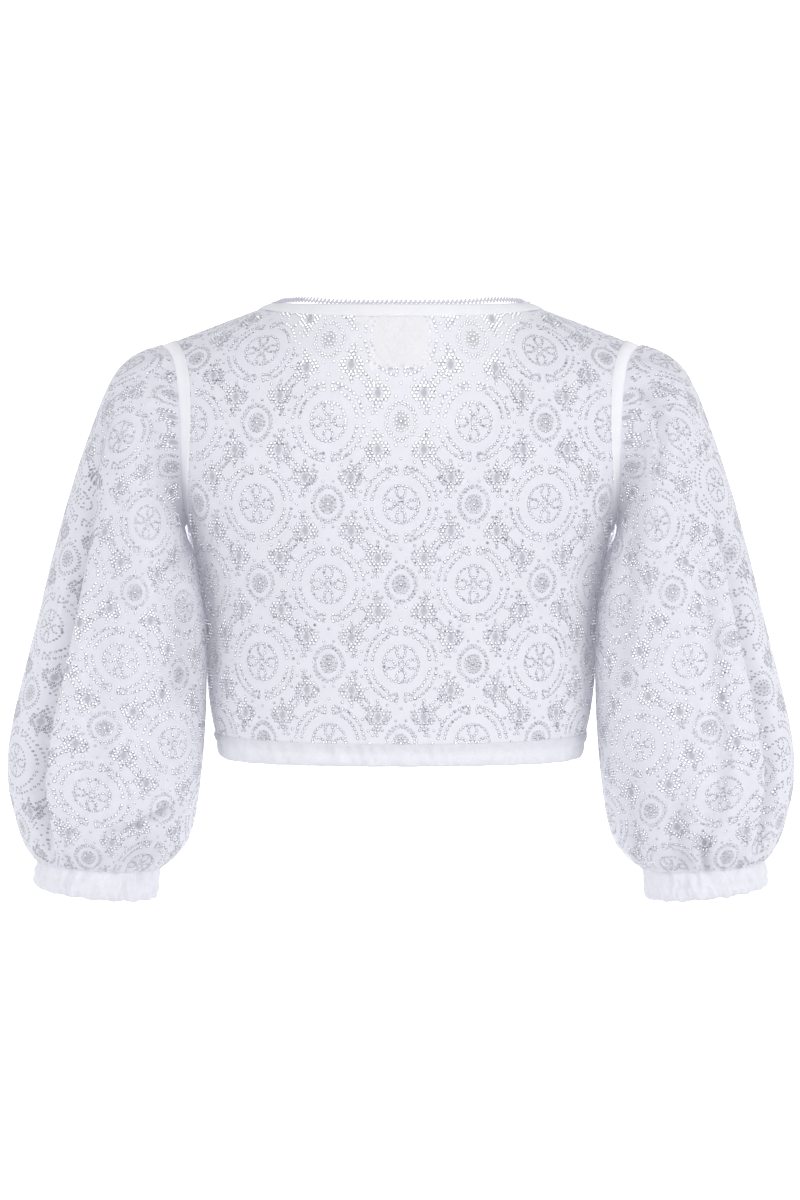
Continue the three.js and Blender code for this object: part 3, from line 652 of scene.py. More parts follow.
class SleeveForm:
    """The surface of one balloon sleeve: angle 0 is its outer edge and a quarter turn its back."""

    def __init__(self, side: Side) -> None:
        """Measures the cloth down the sleeve.

        Args:
            side: which sleeve.
        """
        self.side = side
        names = ("outer_x", "outer_z", "inner_x", "inner_z", "half_depth", "inner_back")
        self.curves = {name: table_curve(SLEEVE_SECTIONS, name) for name in names}
        head = np.linspace(0, TURN, 193)
        self.head_angles = head
        self.head = np.array([BODY.armhole_point(side, float(angle), 0.0) for angle in head])
        rows = np.linspace(0, LAST_ROW, 341)
        self.turns = np.linspace(0, TURN, 97)
        lengths = []
        for angle in self.turns:
            line = self.smooth(np.full_like(rows, angle), rows)
            step = np.linalg.norm(np.diff(line, axis=0), axis=1)
            lengths.append(np.concatenate([[0.0], np.cumsum(step[::-1])]))
        self.full = np.array([line[-1] for line in lengths])
        self.inverse = InverseTable(self.turns, np.array(lengths), rows[::-1], 520)

    def oval(self, angle: np.ndarray, row: np.ndarray) -> Tuple[np.ndarray, np.ndarray]:
        """Points of the sleeve's ovals, and their centres."""
        at = {name: curve(row) for name, curve in self.curves.items()}
        c, s = np.cos(angle), np.sin(angle)
        sign = self.side.value
        middle_x, reach_x = (at["outer_x"] + at["inner_x"]) / 2, (at["outer_x"] - at["inner_x"]) / 2
        middle_z, reach_z = (at["outer_z"] + at["inner_z"]) / 2, (at["outer_z"] - at["inner_z"]) / 2
        y = -at["half_depth"] * s - at["inner_back"] * (1 - c) / 2
        points = np.stack([sign * (middle_x + reach_x * c), y, middle_z + reach_z * c], axis=-1)
        centre = np.stack([sign * middle_x, -at["inner_back"] / 2, middle_z], axis=-1)
        return points, centre

    def smooth(self, angle: np.ndarray, row: np.ndarray) -> np.ndarray:
        """Points without folds: the armhole's own line gives way to the ovals."""
        points, _ = self.oval(angle, row)
        turn = np.mod(angle, TURN)
        own = np.stack([np.interp(turn, self.head_angles, self.head[:, i]) for i in range(3)], axis=-1)
        share = smooth_step(0, SLEEVE_BLEND, row)[:, None]
        return own * (1 - share) + points * share

    def fold(self, angle: np.ndarray, row: np.ndarray) -> np.ndarray:
        """How far creases and gathers move the cloth outwards."""
        degrees = np.degrees(angle)
        total = np.zeros_like(degrees)
        for crease in SLEEVE_CREASES[self.side]:
            t = (row - crease.start) / (crease.end - crease.start)
            swell = smooth_step(0, 0.3, t) * (1 - smooth_step(0.72, 1, t))
            away = np.mod(degrees - crease.angle - crease.drift * t + 540, 360) - 180
            total += crease.depth * swell * np.exp(-((away / crease.width) ** 2))
        for pleat in CUFF_PLEATS[self.side]:
            away = np.mod(degrees - pleat.angle + 540, 360) - 180
            fade = np.exp(-(LAST_ROW - row) / pleat.reach)
            total += pleat.depth * fade * np.exp(-((away / pleat.width) ** 2))
        phase = PHASES[self.side]
        near = np.exp(-(LAST_ROW - row) / 1.2)
        total += 0.5 * near * np.sin(41 * angle + phase + 1.3 * np.sin(4 * angle))
        on_top = smooth_step(-0.1, 0.8, np.cos(angle))
        head = smooth_step(0, 0.7, row) * np.exp(-row / 2.2) * on_top
        return total + head * (1.8 * np.sin(10 * angle + 2 * phase) + 0.8 * np.sin(23 * angle + phase))

    def point(self, angle: np.ndarray, row: np.ndarray) -> np.ndarray:
        """Points with folds."""
        points = self.smooth(angle, row)
        _, centre = self.oval(angle, row)
        out = points - centre
        out /= np.maximum(np.linalg.norm(out, axis=1, keepdims=True), 1e-9)
        return points + out * self.fold(angle, row)[:, None]

    def from_flat(self, flat: np.ndarray) -> Tuple[np.ndarray, np.ndarray]:
        """Angle and row of places on the cut cloth: across from its outer edge, and up from the cuff."""
        angle = flat[:, 0] / SLEEVE_FLAT_WIDTH * TURN
        row = self.inverse(np.mod(angle, TURN), flat[:, 1] / SLEEVE_SLACK)
        return angle, row

    def top(self, across: np.ndarray) -> np.ndarray:
        """Height of the cut's upper edge."""
        angle = np.mod(across / SLEEVE_FLAT_WIDTH * TURN, TURN)
        return np.interp(angle, self.turns, self.full) * SLEEVE_SLACK


def quartered(holes: Sequence[Hole]) -> List[Hole]:
    """Each hole (x, y, radius) in all four quarters, once."""
    found = {}
    for x, y, radius in holes:
        for sign_x, sign_y in QUARTERS:
            found[(round(sign_x * x, 3) + 0.0, round(sign_y * y, 3) + 0.0)] = radius
    return [(x, y, radius) for (x, y), radius in found.items()]


def oval_row(
    half_x: float, half_y: float, first: float, last: float, count: int, radius: float
) -> List[Hole]:
    """A quarter of an oval row of holes, by degrees from the top."""
    turns = np.radians(np.linspace(first, last, count))
    return [(half_x * math.sin(a), half_y * math.cos(a), radius) for a in turns]


def ring_row(x: float, y: float, half_x: float, half_y: float, count: int, radius: float) -> List[Hole]:
    """A whole oval row of holes round a point."""
    turns = [TURN * (i + 0.5) / count for i in range(count)]
    return [(x + half_x * math.sin(a), y + half_y * math.cos(a), radius) for a in turns]


@dataclass(frozen=True)
class Shade:
    """A dense oval of the knit, greyed by painted shade for the shaded inside seen through its fine net."""

    x: float
    y: float
    half_x: float
    half_y: float
    tone: float

    def moved(self, x: float, y: float) -> "Shade":
        """The same oval further on."""
        return Shade(self.x + x, self.y + y, self.half_x, self.half_y, self.tone)


QUARTERS = tuple((sign_x, sign_y) for sign_x in (1, -1) for sign_y in (1, -1))

# Middles of the small dense spots of painted shade of a large round and of the stars about a small round, in
# one quarter
SPOT_X = 8.9
SPOT_Y = 25.2
STAR_X = 18.3
STAR_Y = 21.3


class LaceChart:
    """The openwork repeat on flat cloth: large and small rounds in turn, with star clusters between."""

    def __init__(self) -> None:
        """Lays out the holes and the painted shade ovals of one large and one small round."""
        self.large = self.large_round()
        self.small = self.small_round()
        self.large_shades = [Shade(sx * SPOT_X, sy * SPOT_Y, 1.9, 1.3, 0.4) for sx, sy in QUARTERS]
        self.small_shades = [Shade(0, 0, 6.6, 7.6, 0.14), Shade(0, 0, 4.0, 5.0, 0.26)]
        self.small_shades += [Shade(sx * STAR_X, sy * STAR_Y, 3.1, 4.0, 0.42) for sx, sy in QUARTERS]

    @staticmethod
    def large_round() -> List[Hole]:
        """Two staggered rows, a ring and a flower of four petals, with single holes and links round them."""
        rows = quartered(oval_row(28.6, 29.9, 8, 83, 11, 1.0))
        rows += quartered(oval_row(23.3, 24.5, 9, 81, 9, 1.0))
        rows = [h for h in rows if math.hypot(abs(h[0]) - SPOT_X, abs(h[1]) - SPOT_Y) > 2.6]
        rows += quartered([(3.1, 27.0, 0.85), (5.9, 24.3, 0.7)])
        ring = ring_row(0, 0, 14.0, 15.0, 28, 0.84)
        petals = []
        for y in (9.7, -9.7):
            petals += ring_row(0, y, 3.5, 4.7, 10, 0.8)
        for x in (9.3, -9.3):
            petals += ring_row(x, 0, 4.5, 3.5, 10, 0.8)
        middle = ring_row(0, 0, 2.7, 2.7, 6, 0.7)
        single = quartered([
            (0, 35.7, 0.85), (11, 33, 0.85), (18.6, 29.5, 0.85), (26.9, 19.3, 0.85), (31.6, 10, 0.85),
            (32.6, 0, 0.85), (4, 45.8, 0.8), (43.3, 10.4, 0.8), (8.5, 38.5, 0.55), (35.2, 5.5, 0.55),
            (22.5, 33.5, 0.55), (14.5, 36.5, 0.55), (30.6, 24.5, 0.55),
        ])
        return rows + ring + petals + middle + single + LaceChart.links()

    @staticmethod
    def links() -> List[Hole]:
        """The slanting strips of open holes that join one large round to the next, three holes wide."""
        slope = 0.707
        holes = []
        for sign in (1, -1):
            for along in (-7.6, -4.6, -1.6, 1.6, 4.6, 7.6):
                for aside in (-2.9, 0, 2.9):
                    if aside == 0 and abs(along) in (7.6, 1.6):
                        continue
                    x = 29.2 + slope * (along + 0.9 * aside)
                    y = 32.2 - slope * (along - 0.9 * aside)
                    holes.append((sign * x, y, 0.95))
        return holes

    @staticmethod
    def small_round() -> List[Hole]:
        """A pointed ring of fine holes round a dense middle, and the four stars about it."""
        count = 52
        ring = []
        for i in range(count):
            a = TURN * (i + 0.5) / count
            peak = 1 + 0.07 * abs(math.cos(a)) ** 8
            out = 1.0 if i % 2 else 0.875
            ring.append((12.6 * out * math.sin(a), 14.1 * out * math.cos(a) * peak, 0.62))
        middle = ring_row(0, 0, 6.3, 7.1, 15, 0.6) + ring_row(0, 0, 3.6, 4.3, 8, 0.66) + [(0, 0, 0.95)]
        stars = []
        for row in range(-4, 5):
            for column in range(-5, 6):
                x = column * 3.1 + (1.55 if row % 2 else 0)
                y = row * 2.55
                if abs(x) / 12.2 + abs(y) / 10.4 < 1 and (x / 3.4) ** 2 + (y / 3.9) ** 2 > 1:
                    stars.append((STAR_X + x, STAR_Y + y, 1.04))
        tails = [(22.0, 11.2, 0.85), (18.6, 11.6, 0.85), (20.4, 8.6, 0.85)]
        tails += [(22.6, 5.9, 0.8), (18.9, 6.0, 0.75)]
        return ring + middle + quartered(stars + tails)

    def laid(self, low: np.ndarray, high: np.ndarray) -> Tuple[np.ndarray, List[Shade]]:
        """All holes and shades of the repeat over an area.

        Args:
            low: lowest corner of the area.
            high: highest corner of the area.
        Returns:
            Holes as rows (x, y, radius), and shades.
        """
        holes: List[Hole] = []
        shades: List[Shade] = []
        first = np.floor(low / HALF_STEP).astype(int) - 1
        last = np.ceil(high / HALF_STEP).astype(int) + 1
        for i in range(first[0], last[0] + 1):
            for j in range(first[1], last[1] + 1):
                x, y = (i, j) * HALF_STEP
                is_large = (i + j) % 2 == 0
                holes += [(x + h[0], y + h[1], h[2]) for h in (self.large if is_large else self.small)]
                shades += [s.moved(x, y) for s in (self.large_shades if is_large else self.small_shades)]
        return np.array(holes), shades


CHART = LaceChart()


@dataclass
class Net:
    """Points and edges of a piece before it is cut into triangles."""

    points: List[Tuple[float, float]] = field(default_factory=list)
    edges: List[Tuple[int, int]] = field(default_factory=list)
    owner: List[int] = field(default_factory=list)
    tone: List[float] = field(default_factory=list)

    def add(self, x: float, y: float, tone: float = 0.0, owner: int = -1) -> None:
        """Adds a point.

        Args:
            x: place across the cloth.
            y: place along the cloth.
            tone: how much painted shade greys it.
            owner: the hole whose corner it is, or -1.
        """
        self.points.append((x, y))
        self.tone.append(tone)
        self.owner.append(owner)


@dataclass
class Weave:
    """A flat piece of openwork ready to be laid on a form."""

    flat: np.ndarray
    faces: np.ndarray
    tone: np.ndarray


def inside(points: np.ndarray, outline: np.ndarray) -> np.ndarray:
    """Which points lie inside a closed outline."""
    result = np.zeros(len(points), bool)
    for (x1, y1), (x2, y2) in zip(outline, np.roll(outline, -1, axis=0)):
        if y1 == y2:
            continue
        crosses = (y1 > points[:, 1]) != (y2 > points[:, 1])
        at = (x2 - x1) * (points[:, 1] - y1) / (y2 - y1) + x1
        result ^= crosses & (points[:, 0] < at)
    return result


def tree_of(points: np.ndarray) -> kdtree.KDTree:
    """A search tree of flat points."""
    tree = kdtree.KDTree(len(points))
    for i, (x, y) in enumerate(points):
        tree.insert((x, y, 0.0), i)
    tree.balance()
    return tree


def resampled(line: np.ndarray, step: float) -> np.ndarray:
    """A closed line with even short steps, corners kept."""
    out = []
    for a, b in zip(line, np.roll(line, -1, axis=0)):
        count = max(1, int(np.ceil(np.linalg.norm(b - a) / step)))
        out += [a + (b - a) * i / count for i in range(count)]
    return np.array(out)


def never(across: float, along: float) -> bool:
    """No hole lies in a dark strip."""
    return False


def always(across: float, along: float) -> bool:
    """Every hole is made fine."""
    return True


class Weaver:
    """Cuts the holes of a chart into a flat outline."""

    EDGE_STEP = 3.2
    FILL_STEP = 5.0
    FINE = (6, 5)
    COARSE = (4, 3)
    ROW_RISE = 0.866

    def __init__(
        self,
        outline: np.ndarray,
        holes: np.ndarray,
        shades: Sequence[Shade],
        seed: int,
        dark: Callable[[float, float], bool] = never,
        fine: Callable[[float, float], bool] = always,
    ) -> None:
        """Keeps the holes that fit.

        Args:
            outline: the piece's outline.
            holes: rows (x, y, radius).
            shades: ovals of painted shade.
            seed: seed of the small unevenness of the knit.
            dark: tells whether the holes at a place are drawn small and painted grey as shade.
            fine: tells whether the holes at a place get more corners.
        """
        self.random = np.random.default_rng(seed)
        self.outline = resampled(outline, self.EDGE_STEP)
        self.holes = self.fitting(holes)
        self.hole_tree = tree_of(self.holes[:, :2])
        self.shades = shades
        self.dark = dark
        self.fine = fine

    def fitting(self, holes: np.ndarray) -> np.ndarray:
        """The holes inside the outline, away from it and from each other, a little uneven."""
        holes = holes[inside(holes[:, :2], self.outline)]
        edge = tree_of(self.outline)
        clear = [edge.find((x, y, 0.0))[2] > r + 1.7 for x, y, r in holes]
        holes = holes[np.array(clear)]
        holes = holes + np.concatenate(
            [self.random.normal(0, 0.1, (len(holes), 2)), np.zeros((len(holes), 1))], axis=1
        )
        holes[:, 2] *= 1 + self.random.normal(0, 0.07, len(holes))
        order = np.argsort(-holes[:, 2], kind="stable")
        tree = tree_of(holes[:, :2])
        dropped = np.zeros(len(holes), bool)
        for i in order:
            if dropped[i]:
                continue
            x, y, r = holes[i]
            for _, j, gap in tree.find_range((x, y, 0.0), r + 1.9):
                if j != i and not dropped[j] and gap < HOLE_GROWTH * (r + holes[j, 2]) + 0.22:
                    dropped[j] = True
        return holes[~dropped]

    def woven(self) -> Weave:
        """The piece as triangles with its holes open."""
        net = Net()
        for x, y in self.outline:
            net.add(x, y)
        for index, (x, y, radius) in enumerate(self.holes):
            self.add_hole(net, index, x, y, radius * HOLE_GROWTH)
        self.add_filling(net)
        self.darken(net)
        return self.triangulated(net)

    def add_hole(self, net: Net, index: int, x: float, y: float, radius: float) -> None:
        """Adds a hole's corners, with a painted shadow that is greyest at its lower edge, and the points
        round it where the painted shadow ends.

        Args:
            net: where they go.
            index: number of the hole.
            x: its middle across the cloth.
            y: its middle along the cloth.
            radius: its open radius.
        """
        corners, rim_count = self.FINE if self.fine(x, y) else self.COARSE
        # painted shadow: the side of the hole whose rim is painted darkest
        lowest = -QUARTER_TURN + self.random.normal(-0.25, 0.5)
        is_dark = self.dark(x, y)
        opened = radius * (DARK_GROWTH if is_dark else 1.0)
        start = len(net.points)
        turn = self.random.uniform(0, TURN / corners)
        for k in range(corners):
            a = turn + TURN * k / corners
            tone = STRIP_PAINTED_SHADE if is_dark else min(1.0, max(0.5, 0.8 + 0.5 * math.cos(a - lowest)))
            net.add(x + opened * math.cos(a), y + opened * math.sin(a), tone, index)
            net.edges.append((start + k, start + (k + 1) % corners))
        rims = [((radius + (0.95 if radius > 0.5 else 0.65), radius + 0.5), 0.0)]
        if is_dark:
            rims = [((radius * 0.92,), STRIP_PAINTED_SHADE), ((radius + 0.55,), 0.0)]
        for reaches, tone in rims:
            for k in range(rim_count):
                a = lowest + TURN * (k + 0.5) / rim_count
                self.add_nearest(net, index, x, y, a, reaches, tone)

    def add_nearest(
        self, net: Net, own: int, x: float, y: float, a: float, reaches: Sequence[float], tone: float
    ) -> None:
        """Adds the first point out from a hole's middle, at an angle, that lies in no other hole."""
        for reach in reaches:
            place = (x + reach * math.cos(a), y + reach * math.sin(a))
            if self.is_open(*place, own):
                net.add(*place, tone)
                return

    def add_filling(self, net: Net) -> None:
        """Adds the points of the painted shade ovals, then even rows of points wherever there is room."""
        tree = tree_of(np.array(net.points))
        low, high = self.outline.min(axis=0), self.outline.max(axis=0)
        step, rise = self.FILL_STEP, self.FILL_STEP * self.ROW_RISE
        rows = np.array([
            (low[0] + i * step + (step / 2 if j % 2 else 0), low[1] + j * rise)
            for j in range(int((high[1] - low[1]) / rise) + 1)
            for i in range(int((high[0] - low[0]) / step) + 1)
        ])
        wanted = [(x, y, tone, 0.5) for x, y, tone in self.shade_points()]
        wanted += [(x, y, 0.0, 2.4) for x, y in rows[inside(rows, self.outline)]]
        for x, y, tone, gap in wanted:
            if tree.find((x, y, 0.0))[2] > gap and self.is_open(x, y):
                net.add(float(x), float(y), float(tone))

    def darken(self, net: Net) -> None:
        """Paints shade on the points inside the shade ovals, most at the middle."""
        tree = tree_of(np.array(net.points))
        for shade in self.shades:
            for _, index, _ in tree.find_range((shade.x, shade.y, 0.0), max(shade.half_x, shade.half_y)):
                x, y = net.points[index]
                away = ((x - shade.x) / shade.half_x) ** 2 + ((y - shade.y) / shade.half_y) ** 2
                if away < 1:
                    net.tone[index] = max(net.tone[index], shade.tone * (1 - 0.35 * away))

    def is_open(self, x: float, y: float, own: int = -1) -> bool:
        """Whether a point is clear of every hole but its own."""
        for _, index, distance in self.hole_tree.find_range((x, y, 0.0), 1.9):
            if index != own and distance < HOLE_GROWTH * self.holes[index, 2] + 0.3:
                return False
        return True

    def shade_points(self) -> np.ndarray:
        """Points that carry the painted shade of the ovals, as rows (x, y, painted shade)."""
        points = []
        for s in self.shades:
            points.append((s.x, s.y, s.tone))
            for share, count, level in ((0.62, 7, 0.85), (1.15, 9, 0.0)):
                for k in range(count):
                    a = TURN * k / count
                    x, y = s.x + share * s.half_x * math.cos(a), s.y + share * s.half_y * math.sin(a)
                    points.append((x, y, s.tone * level))
        points = np.array(points)
        return points[inside(points, self.outline)]

    def triangulated(self, net: Net) -> Weave:
        """Triangles over the outline, without those that fill a hole."""
        border = [list(range(len(self.outline)))]
        made = delaunay_2d_cdt([Vector(p) for p in net.points], net.edges, border, 1, 1e-6, True)
        verts, _, faces, origin = made[:4]
        source = np.array([o[0] if o else 0 for o in origin])
        known = np.array([bool(o) for o in origin])
        flat = np.array([(v.x, v.y) for v in verts])
        owner = np.where(known, np.array(net.owner)[source], -1)
        tri = np.array([f for f in faces if len(f) == 3])
        held = owner[tri]
        filling = (held[:, 0] >= 0) & (held[:, 0] == held[:, 1]) & (held[:, 1] == held[:, 2])
        tri = tri[~filling]
        tri = tri[inside(flat[tri].mean(axis=1), self.outline)]
        a, b, c = flat[tri[:, 0]], flat[tri[:, 1]], flat[tri[:, 2]]
        area = (b[:, 0] - a[:, 0]) * (c[:, 1] - a[:, 1]) - (b[:, 1] - a[:, 1]) * (c[:, 0] - a[:, 0])
        tri[area < 0] = tri[area < 0][:, ::-1]
        tri = tri[np.abs(area) > 1e-5]
        used = np.unique(tri)
        renumber = np.full(len(flat), -1)
        renumber[used] = np.arange(len(used))
        tones = np.where(known[used], np.array(net.tone)[source[used]], 0.0)
        return Weave(flat[used], renumber[tri], tones)


def mesh_object(
    name: str, points: np.ndarray, faces: Sequence, uv: Optional[np.ndarray] = None
) -> bpy.types.Object:
    """A smooth mesh at the origin, from points in millimetres.

    Args:
        name: object name.
        points: vertices.
        faces: corners of each face.
        uv: optional map in metres, one pair for each vertex.
    Returns:
        The linked object.
    """
    mesh = bpy.data.meshes.new(name)
    mesh.from_pydata((np.asarray(points) * MM).tolist(), [], [list(map(int, f)) for f in faces])
    mesh.update()
    mesh.shade_smooth()
    if uv is not None:
        corners = np.zeros(len(mesh.loops), np.int32)
        mesh.loops.foreach_get("vertex_index", corners)
        layer = mesh.uv_layers.new(name="flat")
        layer.data.foreach_set("uv", (uv[corners] * MM).astype(np.float32).ravel())
    obj = bpy.data.objects.new(name, mesh)
    bpy.context.scene.collection.objects.link(obj)
    return obj


def add_values(obj: bpy.types.Object, name: str, values: np.ndarray) -> None:
    """Writes a value for each vertex as an attribute that the cloth finish reads."""
    layer = obj.data.attributes.new(name, "FLOAT", "POINT")
    layer.data.foreach_set("value", np.asarray(values, np.float32))


def grid_faces(rows: int, columns: int, closed: bool, flip: bool = False) -> List[Tuple[int, int, int, int]]:
    """Quads of a grid of points, row by row."""
    faces = []
    for r in range(rows - 1):
        for c in range(columns if closed else columns - 1):
            a, b = r * columns + c, r * columns + (c + 1) % columns
            face = (a, b, b + columns, a + columns)
            faces.append(face[::-1] if flip else face)
    return faces


def band_object(name: str, rows: List[np.ndarray], flats: List[np.ndarray]) -> bpy.types.Object:
    """A closed band from rings of points one above the other, and their flat places."""
    faces = grid_faces(len(rows), len(rows[0]), True)
    return mesh_object(name, np.concatenate(rows), faces, np.concatenate(flats))


def linear(colour: str) -> Tuple[float, float, float, float]:
    """An sRGB colour as linear light.

    Args:
        colour: six hexadecimal digits.
    Returns:
        Red, green, blue and one.
    """
    channels = [int(colour[i : i + 2], 16) / 255 for i in (0, 2, 4)]
    light = [c / 12.92 if c <= 0.04045 else ((c + 0.055) / 1.055) ** 2.4 for c in channels]
    return (*light, 1.0)


class MaterialGraph:
    """A material and short calls that add its nodes."""

    def __init__(self, name: str) -> None:
        """Starts an empty material.

        Args:
            name: the material's name.
        """
        self.material = bpy.data.materials.new(name)
        self.material.use_nodes = True
        self.tree = self.material.node_tree
        self.tree.nodes.clear()

    def add(self, kind: str, inputs: Dict[Any, Any], **settings: Any) -> bpy.types.NodeOutputs:
        """Adds a node.

        Args:
            kind: type of the node.
            inputs: a value, or another node's output, for each input by its name or number.
            settings: properties of the node.
        Returns:
            The node's outputs.
        """
        node = self.tree.nodes.new("ShaderNode" + kind)
        for name, value in settings.items():
            setattr(node, name, value)
        for name, value in inputs.items():
            if isinstance(value, bpy.types.NodeSocket):
                self.tree.links.new(value, node.inputs[name])
            else:
                node.inputs[name].default_value = value
        return node.outputs

    def blend(self, attribute: str, first: Any, second: Any) -> bpy.types.NodeSocket:
        """One colour turning into another as a vertex attribute rises from 0 to 1."""
        share = self.add("Attribute", {}, attribute_name=attribute)["Fac"]
        inputs = {"Factor": share, "A": first, "B": second}
        return self.add("Mix", inputs, data_type="RGBA", clamp_factor=True)["Result"]

    def ranged(self, value: Any, low: float, high: float, first: float, last: float) -> bpy.types.NodeSocket:
        """A value from low to high, turned into one from first to last."""
        inputs = {"Value": value, "From Min": low, "From Max": high, "To Min": first, "To Max": last}
        return self.add("MapRange", inputs)["Result"]


@dataclass(frozen=True)
class ClothFinish:
    """One cloth finish: its colours, how rough it is and how fine its knit."""

    name: str
    colour: str
    # the colour at full painted shade
    shade: str
    roughness: float
    through: float
    loop_mm: float
    relief_mm: float
    # the lace colour painted where light from a label behind it whitens the cloth
    backed: str = "EFEFF3"

    def build(self) -> bpy.types.Material:
        """The material: small knit loops, slightly clouded, greyed by painted shade, whitened by painted
        light over the labels, letting some light through.
        """
        graph = MaterialGraph(self.name)
        colour = graph.blend("tone", linear(self.colour), linear(self.shade))
        colour = graph.blend("backing", colour, linear(self.backed))
        place = graph.add("TexCoord", {})
        knit = graph.add("TexVoronoi", {
            "Vector": place["UV"], "Scale": 1000.0 / self.loop_mm, "Randomness": 0.55,
        }, feature="F1")["Distance"]
        cloud = graph.add("TexNoise", {"Vector": place["Object"], "Scale": 90.0, "Detail": 3.0})["Fac"]
        level = graph.add("Math", {
            0: graph.ranged(cloud, 0.3, 0.7, 0.97, 1.0),
            1: graph.ranged(knit, 0.0, 0.8, 1.0, 0.93),
        }, operation="MULTIPLY")["Value"]
        tint = graph.add("VectorMath", {0: colour, "Scale": level}, operation="SCALE")["Vector"]
        relief = {"Strength": 0.35, "Distance": self.relief_mm * MM, "Height": knit}
        cloth = graph.add("BsdfPrincipled", {
            "Base Color": tint,
            "Roughness": self.roughness,
            "Specular IOR Level": 0.04,
            "Normal": graph.add("Bump", relief, invert=True)["Normal"],
        })["BSDF"]
        glow = graph.add("BsdfTranslucent", {"Color": tint})["BSDF"]
        both = graph.add("MixShader", {"Fac": self.through, 1: cloth, 2: glow})["Shader"]
        graph.add("OutputMaterial", {"Surface": both})
        return graph.material


LACE = ClothFinish("lace_white", "DDDDE4", "4E4F59", 0.95, 0.22, 0.9, 0.08)
TAPE = ClothFinish("tape_white", "ECECF1", "A9ABBB", 0.9, 0.12, 0.6, 0.06)
ELASTIC = ClothFinish("casing_white", "DEDEE5", "8F92A0", 0.9, 0.15, 1.6, 0.5)
LABEL = ClothFinish("label_white", "F7F7FA", "D5D6E0", 0.8, 0.25, 0.35, 0.03)
THREAD = ClothFinish("thread_white", "D0CFDA", "8A8B98", 0.8, 0.05, 0.3, 0.04)


PLAIN_WHITE = "F2F2F2"


class Finishes:
    """The finishes of the blouse, each built once."""

    def __init__(self) -> None:
        """Builds every material."""
        self.built = {f.name: f.build() for f in (LACE, TAPE, ELASTIC, LABEL, THREAD)}

    def give(self, obj: bpy.types.Object, finish: ClothFinish) -> None:
        """Puts a finish on an object."""
        obj.data.materials.append(self.built[finish.name])


@dataclass(frozen=True)
class Tuck:
    """Cloth hidden in a fold that runs along a sleeve.

    Args:
        aside: where the fold lies, from the chart's main column.
        hidden: greatest width of cloth hidden.
        low: where it starts above the cuff.
        high: where it ends.
    """

    aside: float
    hidden: float
    low: float
    high: float

    def width(self, along: np.ndarray) -> np.ndarray:
        """Width hidden at a height above the cuff."""
        rise = 40.0
        return self.hidden * smooth_step(self.low, self.low + rise, along) * (
            1 - smooth_step(self.high - rise, self.high, along)
        )


@dataclass(frozen=True)
class SleeveGrain:
    """How the repeat lies on a sleeve's cut: its main column's line, first round, slant and tucks."""

    start: float
    lean: float
    first: float
    slant: float
    tucks: Tuple[Tuck, ...]


GRAINS: Dict[Side, SleeveGrain] = {
    Side.LEFT: SleeveGrain(105.2, 0.069, 81.0, 0.2, (Tuck(-45, 40, -60, 380),)),
    Side.RIGHT: SleeveGrain(91.8, 0.101, 80.0, 0.26, (Tuck(-22, 18, -60, 320), Tuck(-52, 36, -60, 420))),
}


# How far the lace goes on under the hem casing, the armhole bands (as a share of their width) and the binding
HIDDEN_IN_HEM = 13.0
UNDER_ARMHOLE_BAND = 0.5
UNDER_BINDING = 7.0


class PanelLace:
    """The back or the front: one width of lace, cut to the neck and the armholes."""

    def __init__(self, face: Face) -> None:
        """Cuts the width.

        Args:
            face: back or front.
        """
        self.face = face
        self.outline = self.cut()

    def cut(self) -> np.ndarray:
        """The outline on the flat cloth, under its bands and casing."""
        face = self.face
        hem = [(float(a), HIDDEN_IN_HEM) for a in np.linspace(-QUARTER_TURN, QUARTER_TURN, 41)]
        turn = 1.0 if face is Face.BACK else -1.0
        right = []
        for share in np.linspace(1, 0, 33):
            x, _, z = BODY.armhole_point(Side.RIGHT, turn * share * HALF_TURN, UNDER_ARMHOLE_BAND)
            right.append(BODY.spot(x, z, face))
        right[0] = (QUARTER_TURN, right[0][1])
        outer_x = BODY.armhole_point(Side.RIGHT, 0.0, UNDER_ARMHOLE_BAND)[0]
        for x in np.linspace(outer_x, NECK_HALF_WIDTH + UNDER_BINDING, 8)[1:-1]:
            right.append(BODY.spot(float(x), float(BODY.ridge(np.float64(x))), face))
        for share in np.linspace(0, 1, 25):
            x, _, z = BODY.neck_point(0.5 - turn * 0.25 * share, UNDER_BINDING)
            right.append(BODY.spot(abs(x), z, face))
        left = [(-a, run) for a, run in right[::-1][1:]]
        return np.array([(BODY.flat_across(a, run, face), run) for a, run in hem + right + left])

    def weave(self) -> Weave:
        """The lace on the flat cloth."""
        low, high = self.outline.min(axis=0), self.outline.max(axis=0)
        holes, shades = CHART.laid(low - PANEL_FIRST, high - PANEL_FIRST)
        holes[:, :2] += PANEL_FIRST
        shades = [s.moved(*PANEL_FIRST) for s in shades]
        if self.face is Face.BACK:
            return Weaver(self.outline, holes, shades, SEED).woven()
        return Weaver(self.outline, holes, shades, SEED + 1, fine=never).woven()

    def build(self, finishes: Finishes) -> bpy.types.Object:
        """The panel's mesh."""
        made = self.weave()
        run = made.flat[:, 1]
        angle = np.sign(made.flat[:, 0]) * BODY.inverse[self.face](run, np.abs(made.flat[:, 0]))
        points = BODY.point(angle, run, self.face)
        faces = made.faces if self.face is Face.BACK else made.faces[:, ::-1]
        obj = mesh_object(f"lace_{self.face.value}", points, faces, made.flat)
        # Painted light: the lace over the labels is painted whiter, and its painted shade mostly taken off,
        # for the light the white labels send back through it.
        backing = np.zeros(len(points))
        if self.face is Face.BACK:
            for left, right, top, bottom in (NECK_LABEL, SIZE_TAB):
                x, z = points[:, 0], points[:, 2]
                backing[(x > left) & (x < right) & (z < top) & (z > bottom)] = 1.0
        add_values(obj, "tone", made.tone * (1 - 0.9 * backing))
        add_values(obj, "backing", backing)
        finishes.give(obj, LACE)
        log.info("%s: %d triangles", obj.name, len(faces))
        return obj


